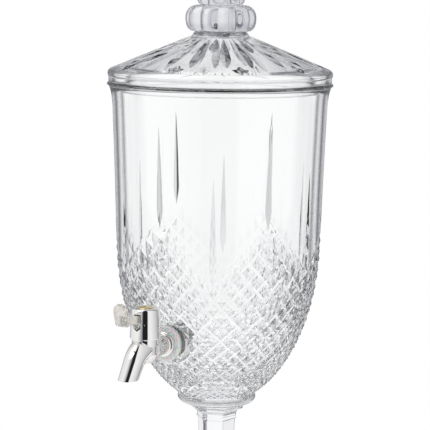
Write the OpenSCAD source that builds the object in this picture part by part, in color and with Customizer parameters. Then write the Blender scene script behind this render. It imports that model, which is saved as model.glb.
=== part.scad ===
// Footed glass drink dispenser: a cut-glass vessel on a six-sided pedestal, a
// loose lid with a lobed finial, and a plated lever tap near the foot of the bowl.
// The origin is the middle of the foot's underside, +Z is up and the tap faces -Y.

/* [Vessel] */
// Height of the vessel from its base face to its rim
vessel_h = 302.5; // [285:0.5:320]
// Outer radius of the flared rim
rim_r = 105; // [98:0.5:112]
// How far the lip flares out beyond the wall
lip_flare = 4.3; // [2:0.1:6]
// Height of the flare below the rim
lip_drop = 20; // [12:1:30]
// Rounding of the rim's edge
lip_round = 2.6; // [1.5:0.1:3]
// How much wider the wall is under the rim than at the bowl
wall_taper = 4.7; // [3:0.1:5.5]
// How quickly the wall's taper dies out towards the bowl
taper_power = 1.4; // [1:0.1:2]
// Depth of the bowl's widest level below the rim
bowl_depth = 148; // [140:1:155]
// How far below the base the bowl's curve would close
bowl_past = 3.5; // [2.5:0.25:6]
// Glass thickness of the wall
wall_t = 6; // [5:0.25:7.5]
// Glass thickness under the bowl
floor_t = 15; // [12:0.5:18]
// Outer radius of the round collar at the vessel's base
bead_r = 37; // [35:0.5:39]
// Height of the round collar
bead_h = 9.4; // [8:0.2:11]

/* [Cutting] */
// Number of diamonds round the vessel
diamonds = 36; // [24:12:48]
// Number of peaks along the top of the field of diamonds
peaks = 6; // [4:2:6]
// Height of a diamond over its width
diamond_ratio = 1.05; // [0.9:0.05:1.2]
// Depth of the grooves between the diamonds
groove_depth = 2.2; // [1:0.1:2.6]
// Depth of the field's peaks below the rim
field_depth = 120.6; // [112:0.2:130]
// Depth of the tips of the long spears below the rim
long_tip = 33.8; // [28:0.2:45]
// Depth of the tips of the short spears below the rim
short_tip = 78; // [60:0.2:84]
// Width of a spear over its depth
spear_spread = 5; // [4:0.1:6]
// Number of repeats of the leaves round the lid
leaf_repeats = 10; // [8:1:12]
// Depth of the leaves cut in the lid
leaf_depth = 1.5; // [0.8:0.1:2]
// Width of a leaf over its depth
leaf_spread = 4.8; // [3:0.1:5.5]
// Turn of a long leaf away from its fan
leaf_turn = 7.5; // [5:0.25:9]
// Bare band between the long leaves and the flange's edge
leaf_margin = 20; // [16:0.5:28]
// Turn of the lid's small fans from the tap about the upright axis
fan_turn = 8; // [0:0.5:36]
// Distance of the fans' feet from the flange's edge
fan_margin = 6; // [5:0.5:14]
// Length of the fans' small leaves
fan_leaf = 15; // [8:0.5:17]
// Angle between the small leaves of a fan
fan_spread = 38; // [25:1:45]

/* [Pedestal] */
// Height of the pedestal under the vessel
pedestal_h = 113; // [100:1:130]
// Corner radius of the six-sided collar under the vessel
hex_top_r = 29.5; // [27:0.5:31]
// Corner radius of the stem
stem_r = 17.5; // [15:0.5:20]
// Turn of the six sides about the upright axis
hex_turn = 21.5; // [0:0.5:60]
// Radius of the round foot
foot_r = 76; // [68:1:85]
// Thickness of the foot at its edge
foot_edge_t = 6; // [4:0.5:8]

/* [Lid] */
// How far the lid's flange stops short of the rim
lid_inset = 0.6; // [0:0.1:1.5]
// Thickness of the flange
lid_edge_t = 12.5; // [11:0.5:14]
// Rounding of the flange's upper edge
lid_round = 5; // [3.5:0.5:6]
// Rise of the lid's cone above the flange
lid_rise = 29.5; // [26:0.5:34]
// Radius of the flat top that carries the finial
lid_top_r = 28.5; // [26:0.5:30]
// Glass thickness of the lid
lid_t = 6.5; // [5.5:0.25:8]
// Depth of the locating skirt inside the rim
skirt_h = 8; // [6:0.5:10]
// Thickness of the locating skirt
skirt_t = 5; // [4:0.5:6]
// Side clearance of the skirt inside the rim
skirt_gap = 1.4; // [1:0.1:2.5]

/* [Finial] */
// Number of lobes round the finial
lobes = 10; // [8:1:12]
// Radius of the large lobed ball
ball_r = 33; // [30:0.5:36]
// Height of the neck under the large ball
pinch_h = 4.5; // [3:0.25:6]
// Radius of the neck under the large ball
pinch_r = 24; // [22:0.5:26]
// Height of the large lobed ball
ball_h = 24.5; // [22:0.5:28]
// Radius of the small lobed ball on top
knob_r = 23; // [20:0.5:25]
// Height of the small lobed ball
knob_h = 27; // [22:0.5:30]
// Depth of the grooves between the lobes
lobe_depth = 3; // [1.5:0.1:3.5]
// Turn of the lobes about the upright axis
lobe_turn = 9; // [0:0.5:36]

/* [Tap] */
// Height of the tap's shank above the vessel's base
tap_h = 70.3; // [64:0.1:74]
// How far the flat glass pad stands out from the bowl
pad_out = 2.54; // [2:0.02:4]
// Radius of the flat glass pad
pad_r = 20; // [18:0.5:22]
// Glass thickness between the pad and the seat inside
pad_t = 13.5; // [12:0.5:15]
// Distance from the pad's face to the tap's upright axis
tap_reach = 33.5; // [32:0.5:40]
// Radius of the shank through the glass
shank_r = 8; // [7:0.25:8.5]
// Clearance of the shank in the glass
shank_gap = 0.6; // [0.3:0.1:1]
// Radius of the bore through the shank
shank_bore_r = 4; // [3.25:0.25:4]
// Radius of the tap's flange
flange_r = 11.6; // [10.5:0.2:13]
// Thickness of the tap's flange
flange_t = 3.5; // [2.5:0.25:4.5]
// Radius of the neck between barrel and flange
neck_r = 8.7; // [8:0.1:9.5]
// Radius of the barrel under the bonnet
barrel_r = 12.25; // [12:0.05:12.8]
// Radius of the bonnet at its base
bonnet_base_r = 13.95; // [13.5:0.05:14.5]
// Radius of the bonnet at its top
bonnet_top_r = 12.7; // [12.5:0.05:13.2]
// Height of the bonnet's base above the shank
bonnet_z = 10.5; // [10:0.1:11]
// Height of the bonnet
bonnet_h = 27.5; // [27:0.5:33]
// Inner radius of the bonnet
bonnet_bore_r = 10.6; // [10.3:0.05:10.8]
// Thickness of the bonnet's top
bonnet_top_t = 3.5; // [3:0.1:4]
// Radius of the inlaid disc on the bonnet
disc_r = 7.4; // [6:0.1:8]
// Thickness of the inlaid disc
disc_t = 1.2; // [0.8:0.1:1.5]
// Radius of the spout at its outlet
outlet_r = 7.8; // [7.2:0.1:8.2]
// Radius of the spout at its bend
spout_r = 8.8; // [8.4:0.1:9.2]
// Bore radius of the spout
spout_bore_r = 5.4; // [4.5:0.1:5.8]
// Bend radius of the spout
spout_bend = 26; // [24:0.5:30]
// Depth of the outlet below the shank
outlet_drop = 22.5; // [21:0.5:25]

/* [Valve] */
// Radius of the valve chamber
chamber_r = 7.6; // [7.2:0.1:7.8]
// Radius of the stem
rod_r = 1.6; // [1.4:0.1:1.8]
// Radius of the hole in the valve seat
port_r = 3.8; // [3:0.1:4]
// Running clearance of pin and stem
run_gap = 0.05; // [0.02:0.01:0.09]
// Free gap between pieces that move past each other
free_gap = 0.3; // [0.2:0.05:0.4]
// Number of turns of the return spring
spring_turns = 6; // [4:1:7]
// Wire thickness of the return spring
wire_d = 0.8; // [0.6:0.1:1]
// Middle radius of the return spring
spring_r = 3.2; // [3:0.1:3.4]

/* [Lever] */
// Thickness of the lever's blade
blade_t = 6.6; // [6:0.1:7]
// Distance of the lever's pin in front of the barrel's axis
pin_out = 10; // [9.5:0.1:10.4]
// Height of the lever's pin above the shank
pin_z = 24.5; // [24:0.1:25.5]
// Radius of the lever's pin
pin_r = 1.5; // [1.2:0.1:1.7]
// Width of the thumb paddle
paddle_w = 14.5; // [12:0.5:17]
// Height of the thumb paddle
paddle_h = 21; // [18:0.5:24]
// Thickness of the thumb paddle
paddle_t = 5; // [4:0.25:6]
// Distance of the paddle in front of the barrel's axis
paddle_out = 31; // [29:0.5:36]
// Outward lean of the paddle
paddle_lean = 15; // [5:1:25]

/* [Washers and nut] */
// Radius of the outer washer
washer_r = 16.5; // [14:0.5:17.5]
// Thickness of the outer washer
washer_t = 4.5; // [3.5:0.25:5.5]
// Radius of the inner washer
inner_washer_r = 14.5; // [13.5:0.25:15.5]
// Thickness of the inner washer
inner_washer_t = 3; // [2:0.25:4]
// Corner radius of the shank nut
nut_r = 13.8; // [12.5:0.2:14.5]
// Thickness of the shank nut
nut_t = 8; // [6:0.5:10]

/* [Hidden] */
$fn = 96;

glass = [0.86, 0.90, 0.93, 0.45];
chrome = [0.80, 0.81, 0.83];
gold = [0.87, 0.74, 0.42];
acrylic = [0.80, 0.79, 0.77, 0.6];
silicone = [0.83, 0.82, 0.79, 0.8];
acetal = [0.95, 0.95, 0.93];
steel = [0.66, 0.67, 0.69];

// Levels and places shared by several pieces
rim_z = pedestal_h + vessel_h;
shank_z = pedestal_h + tap_h;
shoulder_r = rim_r - lip_flare - wall_taper;
bowl_reach = vessel_h - bowl_depth + bowl_past;
lid_r = rim_r - lid_inset;
pad_y = bowl_r(vessel_h - tap_h) + pad_out;
barrel_y = pad_y + tap_reach;
seat_y = pad_y - pad_t;
inner_reach = vessel_h - floor_t - bowl_depth;
bead_mid = vessel_h - bead_h / 2;
cut_over = 1;
profile_steps = 24;

// The tap's upright levels, measured from the shank's axis
bonnet_top = bonnet_z + bonnet_h;
roof_z = bonnet_top - bonnet_top_t;
barrel_bottom = -barrel_r - 1.25;
seat_z = -3;
seat_lip_h = 1;
seat_lip_t = 1.2;
spigot_h = 4;
guide_z = 9;
guide_t = 4;
gallery_r = 2.6;
gallery_z = -6.6;
nose_r = 1.9;
nose_z = 16.7;
arm_z = nose_z - nose_r;
collar_z = nose_z + nose_r + free_gap;
collar_t = 2;
collar_r = 4.2;
rod_top = collar_z + collar_t + 8;
cup_bottom = seat_z + seat_lip_h + 0.1;
cup_r = 5.8;
cup_h = 4.4;
button_r = 3.2;
button_z = cup_bottom + 1.6;
button_t = 1.6;
pin_sunk = 0.8;
pin_wall = 1;
pin_open_end = sqrt(pow((bonnet_base_r + bonnet_top_r) / 2, 2) - pow(pin_out, 2)) - pin_sunk;
pin_end = pin_open_end - pin_wall;
slot_gap = 0.3;
slot_w = blade_t + 2 * slot_gap;
slot_side_z = pin_z - 3.5;
slot_point_z = pin_z - 6.2;
slot_top_z = roof_z - 1;
boss_r = 2.9;

// The spout's bend starts in the barrel and turns downwards
bend_from = [7, 0.5];
bend_start = 25;
bore_start = 45;
bend_end = 60;
bend_mid = bend_from - spout_bend * [sin(bend_start), cos(bend_start)];
bend_to = bend_mid + spout_bend * [sin(bend_end), cos(bend_end)];
spout_len = 24;
spout_lap = 1;
spout_step = 0.15;

// Radius of the vessel's outside and of its cavity at a depth below the rim
function flare(d) = lip_flare * (1 - sqrt(1 - pow(max(0, 1 - (d - lip_round) / lip_drop), 2)));
function wall_r(d) = shoulder_r + wall_taper * pow(max(0, 1 - d / bowl_depth), taper_power)
    + (d > lip_round ? flare(d) : lip_flare);
function bowl_r(d) = shoulder_r * sqrt(1 - pow((d - bowl_depth) / bowl_reach, 2));
function outer_r(d) = d < bowl_depth ? wall_r(d) : bowl_r(d);
function inner_r(d) = d < bowl_depth ? wall_r(d) - wall_t
    : (shoulder_r - wall_t) * sqrt(max(0, 1 - pow((d - bowl_depth) / inner_reach, 2)));

// Depths of the profile's points, closer together where it turns
function flare_depths() = [for (i = [0 : 8]) lip_round + lip_drop * pow(i / 8, 1.6)];
function wall_depths() = let (from = lip_round + lip_drop)
    [for (i = [1 : 4]) from + (bowl_depth - from) * i / 5];
function bowl_depths(reach, last) = [for (i = [0 : profile_steps])
    bowl_depth + reach * sin(i / profile_steps * asin((last - bowl_depth) / reach))];
function arc(c, r, from, to, steps) = [for (i = [0 : steps])
    c + r * [cos(from + (to - from) * i / steps), sin(from + (to - from) * i / steps)]];

// Places children at the tap: local +Z runs up the barrel and local -Y runs forward
module at_tap() {
    translate([0, -barrel_y, shank_z]) children();
}

// Turns a drawing of forward distance and height into a plate of the given width
module side_plate(width) {
    rotate([90, 0, -90]) linear_extrude(width, center = true) children();
}

// A round bar along the tap's shank, from one distance towards the vessel to another
module shank_bar(r, from, to) {
    translate([0, from, 0]) rotate([-90, 0, 0]) cylinder(h = to - from, r = r);
}

// A round bar across the tap at a forward distance and height
module cross_bar(r, from, to, out, z) {
    translate([from, -out, z]) rotate([0, 90, 0]) cylinder(h = to - from, r = r);
}

// A bar along the tap pad's axis, between two distances from the vessel's axis
module pad_bar(r, from, to) {
    translate([0, -from, shank_z]) rotate([90, 0, 0]) cylinder(h = to - from, r = r);
}

// The diamonds lie on a net of half columns and half rows that shrinks with the bowl. Groove lines run
// along its diagonals, through every second point, and the field's top edge follows them in peaks.
half_columns = 2 * diamonds;
peak_columns = half_columns / peaks;
function bowl_lean(d) = d < bowl_depth ? 0 : shoulder_r * (d - bowl_depth) / pow(bowl_reach, 2)
    / sqrt(1 - pow((d - bowl_depth) / bowl_reach, 2));
function half_row(d) = diamond_ratio * 2 * PI * outer_r(d) / half_columns / sqrt(1 + pow(bowl_lean(d), 2));
function net_depths(d, last) = d > last ? [d]
    : concat([d], net_depths(d + half_row(d + half_row(d) / 2), last));
function peak_drop(j) = abs((j + peak_columns / 2) % peak_columns - peak_columns / 2);
function on_groove(i, j) = i >= peak_drop(j) && (i + j) % 2 == 0;
function net_cut(i, j) = on_groove(i, j) ? groove_depth : i >= peak_drop(j) ? point_drop : -net_clear;
function net_point(d, i, j) = let (lean = atan(bowl_lean(d)), cut = net_cut(i, j),
    r = outer_r(d) - cut * cos(lean), a = 360 * j / half_columns)
    [r * sin(a), -r * cos(a), cut * sin(lean) - d];
field_rows = net_depths(field_depth, bead_mid - bead_h / 4);

// The diamonds' points lie just under the plain wall, and the net stands clear of it outside the field
point_drop = 0.15;
net_clear = 0.5;
net_above = 2;

// What is cut away round the diamonds: a ring whose inside is the net of facets
module diamond_cut() {
    rows = concat([for (k = [net_above : -1 : 1]) field_depth - k * half_row(field_depth)], field_rows);
    n = len(rows);
    m = half_columns;
    net = [for (i = [0 : n - 1]) for (j = [0 : m - 1]) net_point(rows[i], i - net_above, j)];
    outside = [for (d = [rows[0], rows[n - 1]]) for (j = [0 : m - 1]) let (a = 360 * j / m)
        [(rim_r + cut_over) * sin(a), -(rim_r + cut_over) * cos(a), -d]];
    top = m * n;
    bottom = top + m;
    inner = [for (i = [0 : n - 2]) for (j = [0 : m - 1])
        let (a = m * i + j, b = m * i + (j + 1) % m, c = a + m, e = b + m, k = i - net_above,
            even = (k + j) % 2 == 0, both = even ? on_groove(k, j) && on_groove(k + 1, j + 1)
                : on_groove(k, j + 1) && on_groove(k + 1, j))
        each even == both ? [[a, e, b], [a, c, e]] : [[a, c, b], [b, c, e]]];
    shell = [for (j = [0 : m - 1]) let (k = (j + 1) % m, last = m * (n - 1)) each [
        [j, k, top + k], [j, top + k, top + j],
        [top + j, top + k, bottom + k], [top + j, bottom + k, bottom + j],
        [bottom + j, bottom + k, last + k], [bottom + j, last + k, last + j]]];
    translate([0, 0, rim_z]) polyhedron(concat(net, outside), concat(inner, shell));
}

// A cut with a V section along a path in the plane of the axis. Each station is its radius, its height,
// the lean of the surface from upright and the depth there; spread is the width over the depth.
module wedge_cut(stations, spread) {
    over = 0.6;
    n = len(stations);
    points = [for (s = stations) let (out = [cos(s[2]), sin(s[2])], low = [s[0], s[1]] - s[3] * out,
        high = [s[0], s[1]] + over * out, half = (s[3] + over) * spread / 2)
        each [[0, -low[0], low[1]], [half, -high[0], high[1]], [-half, -high[0], high[1]]]];
    sides = [for (i = [0 : n - 2]) for (k = [0 : 2])
        let (a = 3 * i + k, b = 3 * i + (k + 1) % 3) each [[a, b + 3, b], [a, a + 3, b + 3]]];
    polyhedron(points, concat(sides, [[0, 1, 2], [3 * n - 1, 3 * n - 2, 3 * n - 3]]));
}

// A spear from its tip down to the field's top edge, growing deeper all the way to just above the grooves
module spear(tip, foot) {
    steps = 4;
    stop = 0.5;
    deepest = 0.9 * groove_depth;
    translate([0, 0, rim_z]) wedge_cut([for (i = [0 : steps]) let (d = tip + (foot - stop - tip) * i / steps)
        [outer_r(d), -d, 0, deepest * i / steps]], spear_spread);
}

// The long spears stand on the peaks and the short ones in the valleys between them
module spears() {
    for (k = [0 : peaks - 1]) {
        rotate([0, 0, 360 * k / peaks]) spear(long_tip, field_depth);
        rotate([0, 0, 360 * (k + 0.5) / peaks]) spear(short_tip, field_rows[peak_columns / 2]);
    }
}

module vessel_outside() {
    depths = concat(flare_depths(), wall_depths(), bowl_depths(bowl_reach, bead_mid));
    lip = arc([wall_r(lip_round) - lip_round, -lip_round], lip_round, 90, 15, 5);
    difference() {
        translate([0, 0, rim_z]) rotate_extrude()
            polygon(concat([[0, 0]], lip, [for (d = depths) [outer_r(d), -d]], [[0, -bead_mid]]));
        diamond_cut();
        spears();
    }
    translate([0, 0, pedestal_h]) rotate_extrude() {
        square([bead_r - bead_h / 2, bead_h]);
        translate([bead_r - bead_h / 2, bead_h / 2]) circle(r = bead_h / 2);
    }
}

module vessel_cavity() {
    depths = concat(flare_depths(), wall_depths(), bowl_depths(inner_reach, vessel_h - floor_t));
    mouth_r = inner_r(lip_round) + lip_round;
    lip = arc([mouth_r, -lip_round], lip_round, 90, 165, 5);
    difference() {
        translate([0, 0, rim_z]) rotate_extrude()
            polygon(concat([[0, cut_over], [mouth_r, cut_over]], lip, [for (d = depths) [inner_r(d), -d]]));
        pad_bar(inner_washer_r + 2, seat_y, barrel_y);
    }
    pad_bar(inner_washer_r + 2, seat_y - inner_washer_t - nut_t - 4, seat_y);
}

// The glass vessel, with a flat pad outside and a flat seat inside for the tap
module vessel() {
    color(glass) difference() {
        union() {
            vessel_outside();
            pad_bar(pad_r, seat_y, pad_y);
        }
        vessel_cavity();
        pad_bar(pad_r, pad_y, pad_y + tap_reach);
        pad_bar(shank_r + shank_gap, seat_y - cut_over, pad_y + cut_over);
    }
}

// Corner radius and height of each six-sided level, from the stem's root to the collar
hex_levels = [[stem_r + 9, foot_edge_t + 14], [stem_r + 3, 38], [stem_r, 56],
    [stem_r + 0.5, pedestal_h - 22], [stem_r + 1, pedestal_h - 17.5], [stem_r + 2.2, pedestal_h - 16],
    [stem_r + 1.6, pedestal_h - 14.5], [stem_r + 4, pedestal_h - 11], [stem_r + 8, pedestal_h - 7],
    [hex_top_r - 3, pedestal_h - 4.6], [hex_top_r, pedestal_h - 2.6], [hex_top_r, pedestal_h]];

// A closed loft through regular six-sided levels
module hex_loft(levels) {
    n = len(levels);
    points = [for (l = levels) for (k = [0 : 5]) [l[0] * cos(60 * k), l[0] * sin(60 * k), l[1]]];
    sides = [for (i = [0 : n - 2]) for (k = [0 : 5])
        [6 * i + k, 6 * i + (k + 1) % 6, 6 * (i + 1) + (k + 1) % 6, 6 * (i + 1) + k]];
    caps = [[for (k = [5 : -1 : 0]) k], [for (k = [0 : 5]) 6 * (n - 1) + k]];
    polyhedron(points, [for (f = concat(sides, caps)) [for (i = [len(f) - 1 : -1 : 0]) f[i]]]);
}

// The pressed glass pedestal: six-sided stem and collar on a round foot
module pedestal() {
    root_z = foot_edge_t + 15;
    root_r = stem_r + 10;
    sweep = [for (i = [0 : 10]) [foot_r - 2 - (foot_r - 2 - root_r) * (1 - cos(9 * i)),
        foot_edge_t + (root_z - foot_edge_t) * (1 - cos(9 * i)) * 0.35
        + (root_z - foot_edge_t) * 0.65 * pow(i / 10, 2.2)]];
    color(glass) {
        rotate([0, 0, hex_turn]) hex_loft(hex_levels);
        rotate_extrude() polygon(concat([[0, 0], [foot_r - 2, 0], [foot_r, 2],
            [foot_r, foot_edge_t - 2]], sweep, [[0, root_z]]));
    }
}

// The lid's cone runs straight from the flat top to the round edge of the flange
lid_slope = atan2(lid_rise, lid_r - lid_round - lid_top_r);
function cone_z(r) = rim_z + lid_edge_t + lid_rise - (r - lid_top_r) * tan(lid_slope);

// A leaf cut in the cone between two radii, deepest at a share of its length and pointed at both ends
module leaf(from, to, deepest, depth) {
    steps = 6;
    wedge_cut([for (i = [0 : steps]) let (u = i / steps, r = from + (to - from) * u,
        rise = u < deepest ? u / deepest : (1 - u) / (1 - deepest))
        [r, cone_z(r), 90 - lid_slope, depth * sin(90 * rise)]], leaf_spread);
}

// Long leaves beside each fan, a shorter one midway between fans, and the fan's three small leaves
module leaves() {
    inner = lid_top_r + 3;
    outer = lid_r - leaf_margin;
    fan_r = lid_r - fan_margin;
    pitch = 360 / leaf_repeats;
    for (k = [0 : leaf_repeats - 1]) rotate([0, 0, pitch * k + fan_turn]) {
        for (side = [-1, 1]) rotate([0, 0, side * leaf_turn]) leaf(inner, outer, 0.7, leaf_depth);
        rotate([0, 0, pitch / 2]) leaf(inner, (inner + outer) / 2, 0.65, leaf_depth);
        for (side = [-1, 0, 1])
            translate([0, -fan_r, 0]) rotate([0, 0, side * fan_spread]) translate([0, fan_r, 0])
                leaf(fan_r - fan_leaf, fan_r, 0.45, leaf_depth * 0.7);
    }
}

// The lid: a hollow cone with a round-edged flange and a skirt inside the rim
module lid() {
    skirt_r = inner_r(skirt_h) - skirt_gap;
    top_z = lid_edge_t + lid_rise;
    under_r = skirt_r - skirt_t;
    roof_r = lid_top_r - lid_t;
    edge = arc([lid_r - lid_round, lid_edge_t - lid_round], lid_round, -60, 90 - lid_slope, 10);
    rim = concat([[lid_r - lid_round / 2, 0]], edge);
    color(glass) difference() {
        translate([0, 0, rim_z]) rotate_extrude() polygon(concat(
            [[0, top_z - lid_t], [roof_r, top_z - lid_t], [under_r, lid_edge_t - lid_t / 2]],
            [[under_r, -skirt_h], [skirt_r, -skirt_h], [skirt_r, 0]], rim, [[lid_top_r, top_z], [0, top_z]]));
        leaves();
    }
}

// Outline of one of the finial's balls, pinched at its foot and top
function ball_profile(r, foot, top, h, z, steps) = [for (i = [0 : steps])
    let (a = -90 + 180 * i / steps, share = pow(max(0, cos(a)), 0.7))
    [share * r + (1 - share) * (a < 0 ? foot : top), z + h * (1 + sin(a)) / 2, share]];

// The lobed finial, joined to the lid's flat top
module lid_finial() {
    round_steps = lobes * 6;
    base_z = rim_z + lid_edge_t + lid_rise;
    ball_z = base_z + pinch_h;
    waist = knob_r * 0.78;
    ball = ball_profile(ball_r, pinch_r, waist, ball_h, ball_z, 12);
    knob = ball_profile(knob_r, waist, 3, knob_h, ball_z + ball_h, 12);
    kept = concat([[lid_top_r - 1.5, base_z, 0]], ball, [for (i = [1 : len(knob) - 1]) knob[i]]);
    n = len(kept);
    points = [for (p = kept) for (k = [0 : round_steps - 1])
        let (a = 360 * k / round_steps, r = p[0] - lobe_depth * p[2] * (1 - abs(sin(a * lobes / 2))))
        [r * cos(a), r * sin(a), p[1]]];
    sides = [for (i = [0 : n - 2]) for (k = [0 : round_steps - 1])
        let (a = round_steps * i + k, b = round_steps * i + (k + 1) % round_steps)
        each [[a, a + round_steps, b], [b, a + round_steps, b + round_steps]]];
    caps = [[for (k = [0 : round_steps - 1]) k],
        [for (k = [round_steps - 1 : -1 : 0]) round_steps * (n - 1) + k]];
    color(glass) rotate([0, 0, lobe_turn]) polyhedron(points, concat(sides, caps));
}

// The spout's bend from a given slope, and its tapering end
module spout_run(start, bend_r, end_r) {
    rotate([90, 0, -90]) {
        translate(bend_mid) rotate([0, 0, 90 - bend_end])
            rotate_extrude(angle = bend_end - start) translate([spout_bend, 0]) circle(r = bend_r);
        translate(bend_to) rotate([90, 0, 90 - bend_end]) translate([0, 0, -spout_lap])
            cylinder(h = spout_len, r1 = bend_r - spout_step, r2 = end_r - spout_step);
    }
}

// The barrel, spout, neck, flange and shank, with the water's way through them
module tap_body() {
    flange_from = tap_reach - washer_t - flange_t;
    shank_end = tap_reach + pad_t + inner_washer_t + nut_t + 3;
    color(chrome) at_tap() difference() {
        union() {
            rotate_extrude() {
                translate([0, barrel_bottom + barrel_r])
                    square([barrel_r, bonnet_z - barrel_bottom - barrel_r]);
                intersection() {
                    translate([0, barrel_bottom + barrel_r]) circle(r = barrel_r);
                    translate([0, barrel_bottom - cut_over]) square([barrel_r + 1, barrel_r + cut_over]);
                }
                square([bonnet_bore_r - run_gap, bonnet_z + spigot_h]);
            }
            spout_run(bend_start, spout_r, outlet_r);
            shank_bar(neck_r, 0, flange_from);
            translate([0, flange_from, 0]) rotate([-90, 0, 0]) rotate_extrude()
                polygon(concat([[0, 0], [neck_r, -2], [neck_r + 0.8, -0.5]],
                    arc([flange_r - flange_t / 2, flange_t / 2], flange_t / 2, -90, 0, 4),
                    [[flange_r, flange_t], [0, flange_t]]));
            shank_bar(shank_r, flange_from, shank_end);
        }
        translate([-30, -60, -outlet_drop - 40]) cube([60, 90, 40]);
        translate([0, 0, seat_z]) difference() {
            cylinder(h = guide_z - seat_z, r = chamber_r);
            cylinder(h = seat_lip_h, r = port_r + seat_lip_t);
        }
        translate([0, 0, guide_z]) cylinder(h = bonnet_z + spigot_h - guide_z + cut_over, r = chamber_r + 1);
        translate([0, 0, gallery_z]) cylinder(h = seat_z + seat_lip_h - gallery_z + cut_over, r = port_r);
        shank_bar(shank_bore_r, chamber_r - 0.8, shank_end + cut_over);
        translate([0, 0, gallery_z]) shank_bar(gallery_r, -bend_to[0], 0);
        spout_run(bore_start, spout_bore_r, spout_bore_r);
    }
}

// The bonnet: a tapered cap over the barrel, with a pointed slot for the lever
module tap_bonnet() {
    edge = 2;
    chamfer = 1.2;
    color(chrome) at_tap() difference() {
        rotate_extrude() polygon(concat([[0, bonnet_z], [bonnet_base_r - chamfer, bonnet_z],
            [bonnet_base_r, bonnet_z + chamfer]],
            arc([bonnet_top_r - edge, bonnet_top - edge], edge, 0, 90, 5), [[0, bonnet_top]]));
        translate([0, 0, bonnet_z - cut_over]) cylinder(h = roof_z - bonnet_z + cut_over, r = bonnet_bore_r);
        translate([0, 0, bonnet_top - disc_t]) cylinder(h = disc_t + cut_over, r = disc_r);
        rotate([90, 0, 0]) linear_extrude(bonnet_base_r + cut_over) polygon([[0, slot_point_z],
            [slot_w / 2, slot_side_z], [slot_w / 2, slot_top_z], [-slot_w / 2, slot_top_z],
            [-slot_w / 2, slot_side_z]]);
        cross_bar(pin_r + run_gap, -bonnet_base_r - cut_over, pin_end + run_gap, pin_out, pin_z);
    }
}

// The thin disc set into the bonnet's top
module bonnet_disc() {
    dome = 0.5;
    color(gold) at_tap() translate([0, 0, bonnet_top - disc_t]) rotate_extrude()
        polygon([[0, 0], [disc_r - run_gap, 0], [disc_r - run_gap, disc_t],
            [disc_r * 0.85, disc_t + dome * 0.6], [disc_r * 0.5, disc_t + dome], [0, disc_t + dome]]);
}

// The clear lever: a fork under the stem's collar, a deep blade and a thumb paddle
module lever() {
    fork_gap = rod_r + free_gap;
    fork_end = 4.8;
    root_top = slot_top_z - 1;
    color(acrylic) at_tap() difference() {
        union() {
            side_plate(blade_t) {
                translate([0, nose_z]) circle(r = nose_r);
                translate([pin_out, pin_z]) circle(r = boss_r);
                polygon([[0, arm_z], [pin_out - 3.5, arm_z], [pin_out - 0.4, pin_z - 3],
                    [pin_out + 3.5, pin_z - 1.8], [pin_out + 9, pin_z + 1.5], [paddle_out + 1, pin_z + 3.5],
                    [paddle_out + 3, root_top + 4], [pin_out + 1.5, root_top], [pin_out - 2.2, root_top - 1.2],
                    [pin_out - 2.6, pin_z], [pin_out - 4.4, nose_z + nose_r], [0, nose_z + nose_r]]);
            }
            translate([0, -paddle_out, pin_z + 2.8]) rotate([paddle_lean, 0, 0]) rotate([90, 0, 0])
                linear_extrude(paddle_t) {
                    translate([0, paddle_h - paddle_w / 2]) circle(r = paddle_w / 2);
                    translate([-paddle_w / 2, 2]) square([paddle_w, paddle_h - paddle_w / 2 - 2]);
                    translate([-paddle_w / 2 + 2, 0]) square([paddle_w - 4, 4]);
                    for (x = [-1, 1]) translate([x * (paddle_w / 2 - 2), 2]) circle(r = 2);
                }
        }
        side_plate(2 * fork_gap) translate([-nose_r - cut_over, arm_z - cut_over])
            square([fork_end + nose_r + cut_over, 2 * nose_r + 2 * cut_over]);
        cross_bar(pin_r + run_gap, -blade_t, blade_t, pin_out, pin_z);
    }
}

// The plain pin that the lever turns on
module lever_pin() {
    color(steel) at_tap() cross_bar(pin_r, -pin_open_end, pin_end, pin_out, pin_z);
}

// The valve's stem: a rod with a collar for the fork and a button in the silicone cup
module valve_stem() {
    color(acetal) at_tap() {
        translate([0, 0, button_z]) cylinder(h = rod_top - button_z, r = rod_r);
        translate([0, 0, button_z]) cylinder(h = button_t, r = button_r);
        translate([0, 0, collar_z]) cylinder(h = collar_t, r = collar_r);
    }
}

// The silicone cup that closes the seat
module seat_cup() {
    color(silicone) at_tap() rotate_extrude() difference() {
        polygon([[0, cup_bottom], [cup_r, cup_bottom], [cup_r, cup_bottom + 1.4],
            [button_r + 1.4, cup_bottom + cup_h], [0, cup_bottom + cup_h]]);
        translate([0, button_z]) square([button_r, button_t]);
        translate([0, button_z]) square([rod_r, cup_h]);
    }
}

// The coil spring between the stem's collar and the bonnet's top
coil_from = collar_z + collar_t + wire_d / 2 + run_gap;
coil_to = roof_z - wire_d / 2 - run_gap;
turn_steps = 10;
coil_steps = spring_turns * turn_steps;
function coil_point(i) = [spring_r * cos(360 * i / turn_steps), spring_r * sin(360 * i / turn_steps),
    coil_from + (coil_to - coil_from) * i / coil_steps];
coil_gap = min([for (i = [0 : coil_steps - turn_steps]) norm(coil_point(i + turn_steps) - coil_point(i))])
    - wire_d;
echo(coil_gap = coil_gap);

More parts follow.
